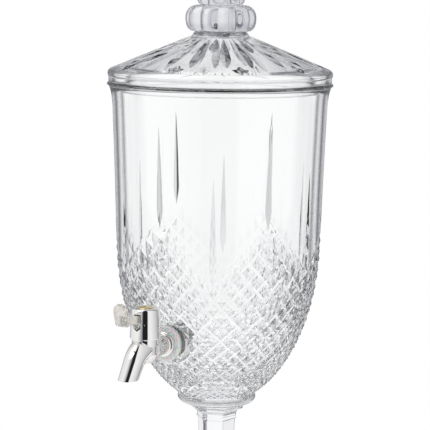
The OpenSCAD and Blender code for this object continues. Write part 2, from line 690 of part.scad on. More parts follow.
module return_spring() {
    wire_sides = 6;
    rise = atan2(coil_to - coil_from, spring_turns * 2 * PI * spring_r);
    points = [for (i = [0 : coil_steps]) for (k = [0 : wire_sides - 1])
        let (turn = 360 * i / turn_steps, a = 360 * k / wire_sides, out = wire_d / 2 * cos(a))
        coil_point(i) + [out * cos(turn) + wire_d / 2 * sin(a) * sin(rise) * sin(turn),
            out * sin(turn) - wire_d / 2 * sin(a) * sin(rise) * cos(turn), wire_d / 2 * sin(a) * cos(rise)]];
    sides = [for (i = [0 : coil_steps - 1]) for (k = [0 : wire_sides - 1])
        let (a = wire_sides * i + k, b = wire_sides * i + (k + 1) % wire_sides)
        each [[a, b, a + wire_sides], [b, b + wire_sides, a + wire_sides]]];
    caps = [[for (k = [wire_sides - 1 : -1 : 0]) k],
        [for (k = [0 : wire_sides - 1]) wire_sides * coil_steps + k]];
    color(steel) at_tap() polyhedron(points, concat(sides, caps));
}

// The disc pressed into the barrel's top that guides the stem
seal_wire = 0.75;
seal_r = rod_r + run_gap + seal_wire;
module stem_guide() {
    pocket_h = 2 * seal_wire + 0.2;
    color(acetal) at_tap() translate([0, 0, guide_z]) difference() {
        cylinder(h = guide_t, r = chamber_r + 1);
        translate([0, 0, -cut_over]) cylinder(h = guide_t + 2 * cut_over, r = rod_r + run_gap);
        translate([0, 0, -cut_over]) cylinder(h = pocket_h + cut_over, r = seal_r + seal_wire + run_gap);
    }
}

// The ring that seals the stem in its guide
module stem_seal() {
    color(silicone) at_tap() translate([0, 0, guide_z + seal_wire + 0.1])
        rotate_extrude() translate([seal_r, 0]) circle(r = seal_wire);
}

// The soft washer between the tap's flange and the glass
module outer_washer() {
    soft = 1.2;
    color(silicone) at_tap() translate([0, tap_reach - washer_t, 0]) rotate([-90, 0, 0]) difference() {
        rotate_extrude() polygon(concat([[0, 0]], arc([washer_r - soft, soft], soft, -90, 0, 4),
            [[washer_r, washer_t], [0, washer_t]]));
        translate([0, 0, -cut_over]) cylinder(h = washer_t + 2 * cut_over, r = shank_r + run_gap);
    }
}

// The soft washer between the nut and the glass, inside the vessel
module inner_washer() {
    color(silicone) at_tap() translate([0, tap_reach + pad_t, 0]) rotate([-90, 0, 0]) difference() {
        cylinder(h = inner_washer_t, r = inner_washer_r);
        translate([0, 0, -cut_over]) cylinder(h = inner_washer_t + 2 * cut_over, r = shank_r + run_gap);
    }
}

// The six-sided nut that clamps the tap to the glass
module shank_nut() {
    color(chrome) at_tap() translate([0, tap_reach + pad_t + inner_washer_t, 0]) rotate([-90, 0, 0])
        difference() {
            cylinder(h = nut_t, r = nut_r, $fn = 6);
            translate([0, 0, -cut_over]) cylinder(h = nut_t + 2 * cut_over, r = shank_r + run_gap);
        }
}

vessel();
pedestal();
lid();
lid_finial();
tap_body();
tap_bonnet();
bonnet_disc();
lever();
lever_pin();
valve_stem();
seat_cup();
return_spring();
stem_guide();
stem_seal();
outer_washer();
inner_washer();
shank_nut();
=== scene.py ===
"""The looks of a footed cut-glass drink dispenser: lidded vessel, six-sided pedestal and plated lever tap.

Shapes are worked out in millimetres and stored in metres. +Z is up and the tap faces -Y.
"""

from math import asin, atan, atan2, cos, degrees, pi, radians, sin, sqrt, tan

import bmesh
import bpy
from mathutils import Matrix, Quaternion, Vector


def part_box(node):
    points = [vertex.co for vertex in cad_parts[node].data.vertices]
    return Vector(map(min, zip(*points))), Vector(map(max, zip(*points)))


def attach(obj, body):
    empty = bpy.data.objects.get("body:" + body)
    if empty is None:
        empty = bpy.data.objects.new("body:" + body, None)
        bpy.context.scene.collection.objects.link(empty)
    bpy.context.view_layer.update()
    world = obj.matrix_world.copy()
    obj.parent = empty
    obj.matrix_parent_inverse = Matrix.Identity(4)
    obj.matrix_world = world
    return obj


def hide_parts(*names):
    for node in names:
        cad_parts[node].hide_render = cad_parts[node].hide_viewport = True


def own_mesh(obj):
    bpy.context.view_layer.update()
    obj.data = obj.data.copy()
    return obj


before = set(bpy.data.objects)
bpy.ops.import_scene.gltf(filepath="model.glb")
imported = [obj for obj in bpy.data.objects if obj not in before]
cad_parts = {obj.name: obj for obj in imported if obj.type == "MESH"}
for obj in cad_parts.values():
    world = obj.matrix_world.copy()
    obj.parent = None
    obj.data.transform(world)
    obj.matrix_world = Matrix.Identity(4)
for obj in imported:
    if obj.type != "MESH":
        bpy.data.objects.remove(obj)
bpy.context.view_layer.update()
MM = 0.001
# The lid and the washers keep a hair's breadth from the glass that they touch. Fused pieces of glass lap by
# as much, so that light goes straight from one to the other.
HAIR = 0.03


def node_box(node):
    """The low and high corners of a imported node, in millimetres."""
    return tuple(Vector(corner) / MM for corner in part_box(node))


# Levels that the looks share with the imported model
PEDESTAL_H = node_box("pedestal")[1].z
RIM_Z = node_box("vessel")[1].z
VESSEL_H = RIM_Z - PEDESTAL_H
LID_TOP_Z = node_box("lid")[1].z
disc_low, disc_high = node_box("bonnet_disc")
BARREL_Y = -(disc_low.y + disc_high.y) / 2
nut_low, nut_high = node_box("shank_nut")
SHANK_Z = (nut_low.z + nut_high.z) / 2
PAD_Y = -node_box("outer_washer")[1].y
TAP_REACH = BARREL_Y - PAD_Y

# The vessel's outline, by depth below the rim
SHOULDER_R = 96.0
LIP_FLARE, LIP_DROP, LIP_ROUND = 4.3, 20.0, 2.6
WALL_TAPER, TAPER_POWER = 4.7, 1.4
BOWL_DEPTH = 148.0
BOWL_REACH = VESSEL_H - BOWL_DEPTH + 3.5
WALL_T, FLOOR_T = 6.0, 15.0
BEAD_R, BEAD_H = 37.0, 9.4
BEAD_MID = VESSEL_H - BEAD_H / 2
PAD_R, PAD_T = 20.0, 13.5
SEAT_R, HOLE_R = 16.5, 8.6

# The cutting: diamonds, spears and the lid's leaves
HALF_COLUMNS, PEAK_COLUMNS = 72, 12
PEAKS = HALF_COLUMNS // PEAK_COLUMNS
DIAMOND_RATIO, GROOVE, POINT_DROP, NET_CLEAR = 1.05, 2.4, 0.15, 0.5
NET_ABOVE, FADE_ROWS, GROOVE_FLAT = 2, 1.0, 1.2
FIELD_DEPTH, LONG_TIP, SHORT_TIP, SPEAR_SPREAD = 120.6, 33.8, 78.0, 4.2
SPEAR_DEPTH, SPEAR_POWER, SPEAR_FADE, SPEAR_LAP = 0.8, 0.75, 0.2, 8
LEAF_REPEATS, LEAF_DEPTH, LEAF_SPREAD, LEAF_TURN = 10, 1.8, 4.8, 7.5
LONG_DEEPEST, SHORT_DEEPEST, FAN_DEEPEST, FAN_DEPTH = 0.7, 0.65, 0.45, 0.7
FAN_TURN, FAN_LEAF, FAN_SPREAD = 8.0, 15.0, 38.0

# The satin inside the glass: the height it fades in over, the floor's height, and the haze of the lid's seat
SATIN_FADE, INNER_FLOOR_H, SEAT_HAZE = 30, 60, 0.2

# The camera stands right of the tap and a little above the middle of the vessel
CAMERA_AZIMUTH, CAMERA_ELEVATION = 33.0, 8.25
CAMERA_DISTANCE, CAMERA_ROLL = 1.568, 0.65
PIXELS_PER_MM, PICTURE_WIDTH, SENSOR = 1.066, 430, 36.0
AIM_Z, AIM_LEFT = 290.5, 3.4


def wall_r(d):
    """Outer radius of the upper wall at a depth below the rim."""
    taper = WALL_TAPER * max(0.0, 1 - d / BOWL_DEPTH) ** TAPER_POWER
    near = max(0.0, 1 - max(0.0, d - LIP_ROUND) / LIP_DROP)
    return SHOULDER_R + taper + LIP_FLARE * (1 - sqrt(1 - near ** 2))


def bowl_r(d, top=SHOULDER_R, reach=BOWL_REACH):
    return top * sqrt(max(0.0, 1 - ((d - BOWL_DEPTH) / reach) ** 2))


def outer_r(d):
    return wall_r(d) if d < BOWL_DEPTH else bowl_r(d)


def inner_r(d):
    inner_reach = VESSEL_H - FLOOR_T - BOWL_DEPTH
    return wall_r(d) - WALL_T if d < BOWL_DEPTH else bowl_r(d, SHOULDER_R - WALL_T, inner_reach)


def bowl_lean(d):
    """How steeply the bowl's wall draws in below its widest level."""
    if d < BOWL_DEPTH:
        return 0.0
    return SHOULDER_R * (d - BOWL_DEPTH) / BOWL_REACH ** 2 / sqrt(1 - ((d - BOWL_DEPTH) / BOWL_REACH) ** 2)


def turns(count):
    """Even turns once round, in radians."""
    return [2 * pi * j / count for j in range(count)]


def arc(centre, r, start, end, steps):
    angles = [radians(start + (end - start) * i / steps) for i in range(steps + 1)]
    return [(centre[0] + r * cos(t), centre[1] + r * sin(t)) for t in angles]


# Meshes


def put(name, data):
    """A new object in the scene, for a mesh, a lamp or a camera."""
    piece = bpy.data.objects.new(name, data)
    bpy.context.scene.collection.objects.link(piece)
    return piece


def make(name, verts, faces, place=Matrix()):
    """A closed mesh object from points in millimetres, with its faces turned outward."""
    mesh = bpy.data.meshes.new(name)
    mesh.from_pydata([(place @ Vector(v)) * MM for v in verts], [], faces)
    shape = bmesh.new()
    shape.from_mesh(mesh)
    bmesh.ops.recalc_face_normals(shape, faces=shape.faces)
    shape.to_mesh(mesh)
    shape.free()
    return put(name, mesh)


def lathe(name, outline, columns=192, place=Matrix()):
    """A turned solid, from its outline as radius and height."""
    verts, rings, faces = [], [], []
    for r, z in outline:
        first = len(verts)
        if r < 1e-6:
            verts.append((0, 0, z))
            rings.append([first] * columns)
        else:
            verts += [(r * sin(t), -r * cos(t), z) for t in turns(columns)]
            rings.append(list(range(first, first + columns)))
    for low, high in zip(rings, rings[1:] + rings[:1]):
        for j in range(columns):
            k = (j + 1) % columns
            corners = list(dict.fromkeys((low[j], low[k], high[k], high[j])))
            if len(corners) > 2:
                faces.append(corners)
    return make(name, verts, faces, place)


def loft(name, rings, place=Matrix()):
    """A solid through closed rings of equal length, with flat ends."""
    count = len(rings[0])
    verts = [point for ring in rings for point in ring]
    faces = [tuple(range(count)), tuple(range(len(verts) - count, len(verts)))]
    for i in range(len(rings) - 1):
        for j in range(count):
            k = (j + 1) % count
            faces.append((i * count + j, i * count + k, (i + 1) * count + k, (i + 1) * count + j))
    return make(name, verts, faces, place)


def plate(name, outline, width, place=Matrix()):
    """A flat plate: a drawing of forward distance and height, given a width across the tap."""
    return loft(name, [[(x, -f, z) for f, z in outline] for x in (-width / 2, width / 2)], place)


def bar(name, r, start, end, place=Matrix(), columns=64):
    """A plain round bar along the local Z axis, for a hole or a pin."""
    return lathe(name, [(0, start), (r, start), (r, end), (0, end)], columns, place)


def settle(piece):
    """Turns the piece's modifiers into plain mesh."""
    graph = bpy.context.evaluated_depsgraph_get()
    old = piece.data
    piece.data = bpy.data.meshes.new_from_object(piece.evaluated_get(graph))
    piece.modifiers.clear()
    bpy.data.meshes.remove(old)
    return piece


def combine(piece, tool, operation):
    """Joins the tool to the piece or cuts it away, and drops the tool."""
    step = piece.modifiers.new("combine", "BOOLEAN")
    step.operation, step.object, step.solver = operation, tool, "MANIFOLD"
    settle(piece)
    bpy.data.objects.remove(tool)


def cut(piece, *tools):
    for tool in tools:
        combine(piece, tool, "DIFFERENCE")


def join(piece, *tools):
    for tool in tools:
        combine(piece, tool, "UNION")


def soften(piece, width, segments=3, crisp=35):
    """A small even round on the piece's crisp edges."""
    step = piece.modifiers.new("soft edges", "BEVEL")
    step.width, step.segments = width * MM, segments
    step.limit_method, step.angle_limit = "ANGLE", radians(crisp)
    settle(piece)


def place_piece(piece, finish, body, slot, *nodes, crease=30):
    """Gives a piece its finish and shading, ties it to its body, and hides the imported nodes it stands for.
    """
    piece.data.materials.clear()
    piece.data.materials.append(finish)
    piece.data.shade_smooth()
    piece.data.set_sharp_from_angle(angle=radians(crease))
    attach(piece, body)
    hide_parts(*nodes)


# Node trees

# Kinds of node that come up often. A Map Range node takes a value, the two ends that it comes from and the
# two that it goes to, 0 and 1 when left out. A Mix node's numbers are its inputs 2 and 3, and its colours are
# inputs 6 and 7 and output 2.
MATH, VECTOR_MATH, INTEGER_MATH = "ShaderNodeMath", "ShaderNodeVectorMath", "FunctionNodeIntegerMath"
MAP_RANGE, MIX, NOISE = "ShaderNodeMapRange", "ShaderNodeMix", "ShaderNodeTexNoise"
SEPARATE, BUMP, PRINCIPLED = "ShaderNodeSeparateXYZ", "ShaderNodeBump", "ShaderNodeBsdfPrincipled"


def linear(code):
    """A six-digit sRGB colour as the linear colour, with alpha, that sockets take."""
    parts = [int(code[i:i + 2], 16) / 255 for i in (1, 3, 5)]
    return tuple(c / 12.92 if c <= 0.04045 else ((c + 0.055) / 1.055) ** 2.4 for c in parts) + (1.0,)


def add(tree, kind, inputs=(), out=0, **settings):
    """Adds a node with its settings and links, and gives back one of its outputs, or all of them for None.

    The inputs are given by name or number, or in the order that the node has them.
    """
    node = tree.nodes.new(kind)
    for key, value in settings.items():
        setattr(node, key, value)
    for key, value in inputs.items() if isinstance(inputs, dict) else enumerate(inputs):
        if isinstance(value, bpy.types.NodeSocket):
            tree.links.new(value, node.inputs[key])
        else:
            node.inputs[key].default_value = value
    return node.outputs if out is None or not node.outputs else node.outputs[out]


def rule_tree(name, sockets):
    """A new geometry tree with a geometry in and out and the given named inputs."""
    tree = bpy.data.node_groups.new(name, "GeometryNodeTree")
    tree.interface.new_socket("Geometry", in_out="INPUT", socket_type="NodeSocketGeometry")
    tree.interface.new_socket("Geometry", in_out="OUTPUT", socket_type="NodeSocketGeometry")
    for label, kind in sockets:
        tree.interface.new_socket(label, in_out="INPUT", socket_type="NodeSocket" + kind)
    return tree, add(tree, "NodeGroupInput", out=None)


def close_tree(tree, geometry, finish):
    """Ends a tree in plain geometry with its finish set."""
    plain = add(tree, "GeometryNodeRealizeInstances", {"Geometry": geometry})
    painted = add(tree, "GeometryNodeSetMaterial", {"Geometry": plain, "Material": finish})
    add(tree, "NodeGroupOutput", {"Geometry": painted})
    return tree


def apply_rule(piece, tree, **values):
    """Runs a geometry tree on a piece with the named inputs, and keeps the plain mesh."""
    step = piece.modifiers.new(tree.name, "NODES")
    step.node_group = tree
    for item in tree.interface.items_tree:
        if item.in_out == "INPUT" and item.name in values:
            step[item.identifier] = values[item.name]
    settle(piece)


def build_net_rule():
    """Sinks the points of a net into diamonds: groove points deep, diamond points just under the wall."""
    tree, given = rule_tree("diamond_net", [("Groove", "Float"), ("Point", "Float"), ("Clear", "Float"),
                                            ("Fade", "Float"), ("Peak", "Int"), ("Finish", "Material")])
    row, column, inward = [
        add(tree, "GeometryNodeInputNamedAttribute", {"Name": label}, "Attribute", data_type=kind)
        for label, kind in (("row", "INT"), ("column", "INT"), ("inward", "FLOAT_VECTOR"))]
    # Steps from the nearest peak of the field, round the vessel
    half_peak = add(tree, INTEGER_MATH, (given["Peak"], 2), operation="DIVIDE_FLOOR")
    moved = add(tree, INTEGER_MATH, (column, half_peak), operation="ADD")
    along = add(tree, INTEGER_MATH, (moved, given["Peak"]), operation="MODULO")
    aside = add(tree, INTEGER_MATH, (along, half_peak), operation="SUBTRACT")
    edge = add(tree, INTEGER_MATH, (aside,), operation="ABSOLUTE")
    # A point below the zigzag edge belongs to the field
    beyond = add(tree, INTEGER_MATH, (row, edge), operation="SUBTRACT")
    inside = add(tree, MATH, (beyond, -0.5), operation="GREATER_THAN")
    # Points of an even sum of row and column lie where grooves cross
    total = add(tree, INTEGER_MATH, (row, column), operation="ADD")
    size = add(tree, INTEGER_MATH, (total,), operation="ABSOLUTE")
    odd = add(tree, INTEGER_MATH, (size, 2), operation="MODULO")
    crossing = add(tree, MATH, (odd, 0.5), operation="LESS_THAN")
    deeper = add(tree, MATH, (given["Groove"], given["Point"]), operation="SUBTRACT")
    reach = add(tree, MATH, (crossing, deeper, given["Point"]), operation="MULTIPLY_ADD")
    # The cutting starts shallow along that edge and grows to its full depth below it
    grown = add(tree, MAP_RANGE, (beyond, 0.0, given["Fade"], 0.1))
    faded = add(tree, MATH, (reach, grown), operation="MULTIPLY")
    raised = add(tree, MATH, (faded, given["Clear"]), operation="ADD")
    kept = add(tree, MATH, (inside, raised), operation="MULTIPLY")
    depth = add(tree, MATH, (kept, given["Clear"]), operation="SUBTRACT")
    offset = add(tree, VECTOR_MATH, {0: inward, "Scale": depth}, operation="SCALE")
    sunk = add(tree, "GeometryNodeSetPosition", {"Geometry": given["Geometry"], "Offset": offset})
    return close_tree(tree, sunk, given["Finish"])


def build_cut_rule():
    """Repeats one cutter evenly about the upright axis and takes every copy out of the piece."""
    tree, given = rule_tree("cut_all_round", [("Cutter", "Object"), ("Repeats", "Int"),
                                              ("First turn", "Float"), ("Finish", "Material")])
    shape = add(tree, "GeometryNodeObjectInfo", {"Object": given["Cutter"]}, "Geometry")
    spots = add(tree, "GeometryNodeMeshLine", {"Count": given["Repeats"], "Offset": (0, 0, 0)})
    index = add(tree, "GeometryNodeInputIndex")
    pitch = add(tree, MATH, (2 * pi, given["Repeats"]), operation="DIVIDE")
    turn = add(tree, MATH, (index, pitch, given["First turn"]), operation="MULTIPLY_ADD")
    rotation = add(tree, "FunctionNodeAxisAngleToRotation", {"Axis": (0, 0, 1), "Angle": turn})
    copies = add(tree, "GeometryNodeInstanceOnPoints",
                 {"Points": spots, "Instance": shape, "Rotation": rotation})
    cutters = add(tree, "GeometryNodeRealizeInstances", {"Geometry": copies})
    carved = add(tree, "GeometryNodeMeshBoolean", {"Mesh 1": given["Geometry"], "Mesh 2": cutters}, "Mesh",
                 operation="DIFFERENCE", solver="MANIFOLD")
    return close_tree(tree, carved, given["Finish"])


def build_coil_rule():
    """Winds a round wire into a coil that stands on a given point."""
    tree, given = rule_tree("coil_spring", [("Turns", "Float"), ("Radius", "Float"), ("Wire", "Float"),
                                            ("Height", "Float"), ("Foot", "Vector"), ("Finish", "Material")])
    path = add(tree, "GeometryNodeCurveSpiral",
               {"Resolution": 40, "Rotations": given["Turns"], "Start Radius": given["Radius"],
                "End Radius": given["Radius"], "Height": given["Height"]})
    section = add(tree, "GeometryNodeCurvePrimitiveCircle", {"Resolution": 12, "Radius": given["Wire"]})
    wire = add(tree, "GeometryNodeCurveToMesh", {"Curve": path, "Profile Curve": section, "Fill Caps": True})
    stood = add(tree, "GeometryNodeTransform", {"Geometry": wire, "Translation": given["Foot"]})
    return close_tree(tree, stood, given["Finish"])


# Finishes


def new_finish(name):
    """A new material with its empty tree, and the place on the object that its patterns follow."""
    finish = bpy.data.materials.new(name)
    finish.use_nodes = True
    tree = finish.node_tree
    tree.nodes.clear()
    return finish, tree, add(tree, "ShaderNodeTexCoord", out="Object")


# How uneven a surface's patches are: the noise between these values spans the whole drift
PATCH_LOW, PATCH_HIGH = 0.3, 0.7
# The painted grey shade that glass takes at its edges, and how strongly it bends light
GLASS_EDGE_SHADE, GLASS_IOR = "#2c2e34", 1.52


def mottle(tree, place, patch_mm, detail, tones, roughness):
    """Patches of a real size, in which the colour and the roughness drift between two values."""
    patch = add(tree, NOISE, {"Vector": place, "Scale": 1 / (patch_mm * MM), "Detail": detail})
    colour = add(tree, MIX, {0: patch, 6: linear(tones[0]), 7: linear(tones[1])}, 2, data_type="RGBA")
    rough = add(tree, MAP_RANGE, (patch, PATCH_LOW, PATCH_HIGH, roughness[0], roughness[1]))
    return colour, rough


def clear_solid(name, edge_shade_from, wave_mm, wave_height_mm, absorb, density, facet_shade=0.0, facet_shade_grey=GLASS_EDGE_SHADE,
                lopsided_shade=0.0, spear_shade_grey=0.0, satin=0.0, satin_top=0.0, edge_shade_on_cuts=True):
    """Clear glass: smooth faces with a slow ripple bend what is behind, and painted grey shade darkens its
    edges and cut faces.
    """
    finish, tree, place = new_finish(name)
    tone, clean = mottle(tree, place, 3 * wave_mm, 2.0, ("#ffffff", "#fcfdfd"), (0.0, 0.012))
    # How far a face looks out from the upright axis, and how far it is turned round that axis
    normal = add(tree, "ShaderNodeNewGeometry", out="True Normal")
    level = add(tree, VECTOR_MATH, (place, (1, 1, 0)), operation="MULTIPLY")
    out = add(tree, VECTOR_MATH, (level,), operation="NORMALIZE")
    outward = add(tree, VECTOR_MATH, (normal, out), "Value", operation="DOT_PRODUCT")
    across = add(tree, VECTOR_MATH, (out, normal), operation="CROSS_PRODUCT")
    sideways, up, steep = [add(tree, SEPARATE, (vector,), "Z") for vector in (across, place, normal)]
    # Below one level the inside has a faint satin from the mould, which calms what shows through the cutting
    low = add(tree, MAP_RANGE, (up, satin_top * MM, (satin_top - SATIN_FADE) * MM))
    inner_wall = add(tree, MATH, (outward, -0.05), operation="LESS_THAN")
    level_face = add(tree, MATH, (steep, 0.45), operation="GREATER_THAN")
    deep = add(tree, MATH, (up, (PEDESTAL_H + INNER_FLOOR_H) * MM), operation="LESS_THAN")
    inner_floor = add(tree, MATH, (level_face, deep), operation="MULTIPLY")
    inside = add(tree, MATH, (inner_wall, inner_floor), operation="MAXIMUM")
    matt = add(tree, MATH, (low, inside), operation="MULTIPLY")
    skin = add(tree, MATH, (matt, satin, clean), operation="MULTIPLY_ADD")
    # The seat of the lid on the rim is ground matt
    seat = add(tree, MATH, (up, RIM_Z * MM, 1.0 * MM), operation="COMPARE")
    haze = add(tree, MATH, (seat, SEAT_HAZE, skin), operation="MULTIPLY_ADD")
    # A face seen along its length lets less light through, and there the colour gets a dark line of painted
    # shade
    facing = add(tree, "ShaderNodeLayerWeight", {"Blend": 0.5}, "Facing")
    rise = add(tree, MAP_RANGE, (facing, edge_shade_from, edge_shade_from + 0.1), interpolation_type="SMOOTHSTEP")
    fall = add(tree, MAP_RANGE, (facing, edge_shade_from + 0.12, edge_shade_from + 0.24, 1.0, 0.25))
    # Upright faces get the painted edge shade, from outside only: the tops of rims and rings stay clear
    tilt = add(tree, MATH, (steep,), operation="ABSOLUTE")
    upright = add(tree, MAP_RANGE, (tilt, 0.35, 0.6, 1.0, 0.0))
    beneath = add(tree, "ShaderNodeNewGeometry", out="Backfacing")
    outside = add(tree, MATH, (1.0, beneath), operation="SUBTRACT")
    # A face turned sideways has been cut; where cuts have no painted edge shade, only plain faces keep it
    turned = add(tree, MATH, (sideways,), operation="ABSOLUTE")
    cut_face = add(tree, MAP_RANGE, (turned, 0.08, 0.2))
    plain = add(tree, MATH, (1.0, cut_face), operation="SUBTRACT")
    line = rise
    for share in [fall, upright, outside] + ([] if edge_shade_on_cuts else [plain]):
        line = add(tree, MATH, (line, share), operation="MULTIPLY")
    edge_shaded = add(tree, MIX, {0: line, 6: tone, 7: linear(GLASS_EDGE_SHADE)}, 2, data_type="RGBA")
    # Where a cut face leans from the eye its light goes elsewhere, and its colour gets a painted grey shade
    leaning_shade = add(tree, MAP_RANGE, (facing, 0.12, 0.55, 0.0, facet_shade))
    # One flank of each leaf gets more of the painted shade than the other
    shaded_flank = add(tree, MAP_RANGE, (sideways, -0.08, 0.08, 1.0, 1.0 - lopsided_shade))
    shade = cut_face
    for share in (outside, shaded_flank, leaning_shade):
        shade = add(tree, MATH, (shade, share), operation="MULTIPLY")
    # The steep sides of the spears get a painted grey shade in their colour
    spear_side_shade = add(tree, MAP_RANGE, (turned, 0.3, 0.38, 0.0, spear_shade_grey))
    above = add(tree, MAP_RANGE, (up, (RIM_Z - FIELD_DEPTH - 40) * MM, (RIM_Z - FIELD_DEPTH - 10) * MM))
    spear_shade = add(tree, MATH, (spear_side_shade, above), operation="MULTIPLY")
    grey = add(tree, MATH, (shade, spear_shade), operation="MAXIMUM")
    colour = add(tree, MIX, {0: grey, 6: edge_shaded, 7: linear(facet_shade_grey)}, 2, data_type="RGBA")
    wave = add(tree, NOISE, {"Vector": place, "Scale": 1 / (wave_mm * MM), "Detail": 1.0})
    rippled = add(tree, BUMP, {"Height": wave, "Distance": wave_height_mm * MM})
    surface = add(tree, PRINCIPLED, {"Base Color": colour, "Roughness": haze, "IOR": GLASS_IOR,
                                     "Transmission Weight": 1.0, "Normal": rippled})
    volume = add(tree, "ShaderNodeVolumeAbsorption", {"Color": linear(absorb), "Density": density})
    add(tree, "ShaderNodeOutputMaterial", {"Surface": surface, "Volume": volume})
    return finish


def metal_skin(tree, colour, polish, relief, relief_mm):
    """Ends a finish in bare metal, with a fine relief in its skin."""
    normal = add(tree, BUMP, {"Height": relief, "Distance": relief_mm * MM})
    surface = add(tree, PRINCIPLED, {"Base Color": colour, "Metallic": 1.0, "Roughness": polish,
                                     "Normal": normal})
    add(tree, "ShaderNodeOutputMaterial", {"Surface": surface})


def plated_metal(name, tones, roughness, wear_mm, grain_mm, grain_height_mm):
    """Plated or drawn metal: faint smears in the polish keep its reflections from looking ideal."""
    finish, tree, place = new_finish(name)
    colour, polish = mottle(tree, place, wear_mm, 4.0, tones, roughness)
    grain = add(tree, NOISE, {"Vector": place, "Scale": 1 / (grain_mm * MM)})
    metal_skin(tree, colour, polish, grain, grain_height_mm)
    return finish


def turned_gold(name, tones, roughness, wear_mm, ring_mm, ring_height_mm):
    """Gold-tone plate with fine turned rings about the disc's middle, which break its shine into arcs."""
    finish, tree, place = new_finish(name)
    colour, polish = mottle(tree, place, wear_mm, 3.0, tones, roughness)
    level = add(tree, VECTOR_MATH, (place, (0, -BARREL_Y * MM, 0)), operation="SUBTRACT")
    flat = add(tree, VECTOR_MATH, (level, (1, 1, 0)), operation="MULTIPLY")
    radius = add(tree, VECTOR_MATH, (flat,), "Value", operation="LENGTH")
    phase = add(tree, MATH, (radius, 2 * pi / (ring_mm * MM)), operation="MULTIPLY")
    rings = add(tree, MATH, (phase,), operation="SINE")
    metal_skin(tree, colour, polish, rings, ring_height_mm)
    return finish


def soft_moulding(name, tones, roughness, patch_mm, ior, see_through, glow):
    """Moulded plastic or rubber: light sinks in a little, and the skin has a fine moulded grain."""
    grain_mm, grain_height_mm, sink_mm = 0.5, 0.01, 2
    finish, tree, place = new_finish(name)
    colour, skin = mottle(tree, place, patch_mm, 3.0, tones, roughness)
    grain = add(tree, NOISE, {"Vector": place, "Scale": 1 / (grain_mm * MM)})
    normal = add(tree, BUMP, {"Height": grain, "Distance": grain_height_mm * MM})
    surface = add(tree, PRINCIPLED, {
        "Base Color": colour, "Roughness": skin, "IOR": ior, "Subsurface Weight": glow,
        "Subsurface Scale": sink_mm * MM, "Transmission Weight": see_through, "Normal": normal})
    add(tree, "ShaderNodeOutputMaterial", {"Surface": surface})
    return finish


# Clear glass: almost colourless, with a slow ripple from the mould and a faint cool tone through thick parts
# The glass finishes set how much painted grey shade their edges and cut faces take
cut_glass = clear_solid(
    "cut glass", edge_shade_from=0.63, wave_mm=38, wave_height_mm=0.03, absorb="#e6e8ee", density=1.5,
    facet_shade=0.5, facet_shade_grey="#3c3e4c", spear_shade_grey=0.25, satin=0.12, satin_top=RIM_Z - FIELD_DEPTH)
pressed_glass = clear_solid(
    "pressed glass", edge_shade_from=0.42, wave_mm=26, wave_height_mm=0.05, absorb="#e2e4ea", density=5.0)
lid_glass = clear_solid(
    "lid glass", edge_shade_from=0.6, wave_mm=34, wave_height_mm=0.03, absorb="#e2e4ea", density=2.0, facet_shade=0.75,
    facet_shade_grey="#17181c", lopsided_shade=0.75, satin=0.1, satin_top=LID_TOP_Z + 40, edge_shade_on_cuts=False)
finial_glass = clear_solid(
    "finial glass", edge_shade_from=0.45, wave_mm=24, wave_height_mm=0.05, absorb="#d6d8de", density=12.0,
    facet_shade=0.35, facet_shade_grey="#3c3e48")
# Acrylic: moulded, a touch warmer than glass and cloudy, so what is behind it only glows through
clear_acrylic = soft_moulding("clear acrylic", ("#f6f4f0", "#e9e6e0"), (0.24, 0.34), patch_mm=7.0, ior=1.49,
                              see_through=0.7, glow=0.15)
# Chrome: bright plate that mirrors the white room, with faint wiping marks
chrome_plate = plated_metal("chrome plate", ("#eceae8", "#f4f3f2"), (0.03, 0.07), wear_mm=9.0, grain_mm=2.0,
                            grain_height_mm=0.002)
nut_plate = plated_metal("nut plate", ("#d9dadc", "#e6e7e8"), (0.1, 0.2), wear_mm=5.0, grain_mm=1.0,
                         grain_height_mm=0.004)
# Drawn wire: duller, with a fine grain from the die
stainless = plated_metal("stainless wire", ("#b9bbbe", "#cfd1d3"), (0.18, 0.3), wear_mm=2.0, grain_mm=0.3,
                         grain_height_mm=0.004)
# Gold tone: a warm bright plate, turned in fine rings
gold_tone = turned_gold("gold tone plate", ("#d9bf7a", "#e6d294"), (0.12, 0.24), wear_mm=3, ring_mm=0.5,
                        ring_height_mm=0.01)
# Silicone: warm grey and cloudy, with light sinking into it
silicone = soft_moulding("silicone rubber", ("#f3f2ee", "#fafaf8"), (0.3, 0.42), patch_mm=6.0, ior=1.41,
                         see_through=0.3, glow=0.6)
# Acetal: dense white plastic with a faint sheen from the mould
acetal = soft_moulding("acetal plastic", ("#efefea", "#f6f6f2"), (0.25, 0.36), patch_mm=4.0, ior=1.48,
                       see_through=0.0, glow=0.1)

net_rule = build_net_rule()
cut_rule = build_cut_rule()
coil_rule = build_coil_rule()


# The vessel


def half_row(d):
    """Half a diamond's height at a depth, measured along the axis."""
    return DIAMOND_RATIO * 2 * pi * outer_r(d) / HALF_COLUMNS / sqrt(1 + bowl_lean(d) ** 2)


def field_rows():
    """Depths of the net's half rows, from the field's peaks down to the collar."""
    rows = [FIELD_DEPTH]
    while rows[-1] <= BEAD_MID - BEAD_H / 4:
        rows.append(rows[-1] + half_row(rows[-1] + half_row(rows[-1]) / 2))
    return rows


def on_groove(i, j):
    """Whether a point of the net lies in the field, where grooves cross."""
    edge = abs((j + PEAK_COLUMNS // 2) % PEAK_COLUMNS - PEAK_COLUMNS // 2)
    return i >= edge and (i + j) % 2 == 0


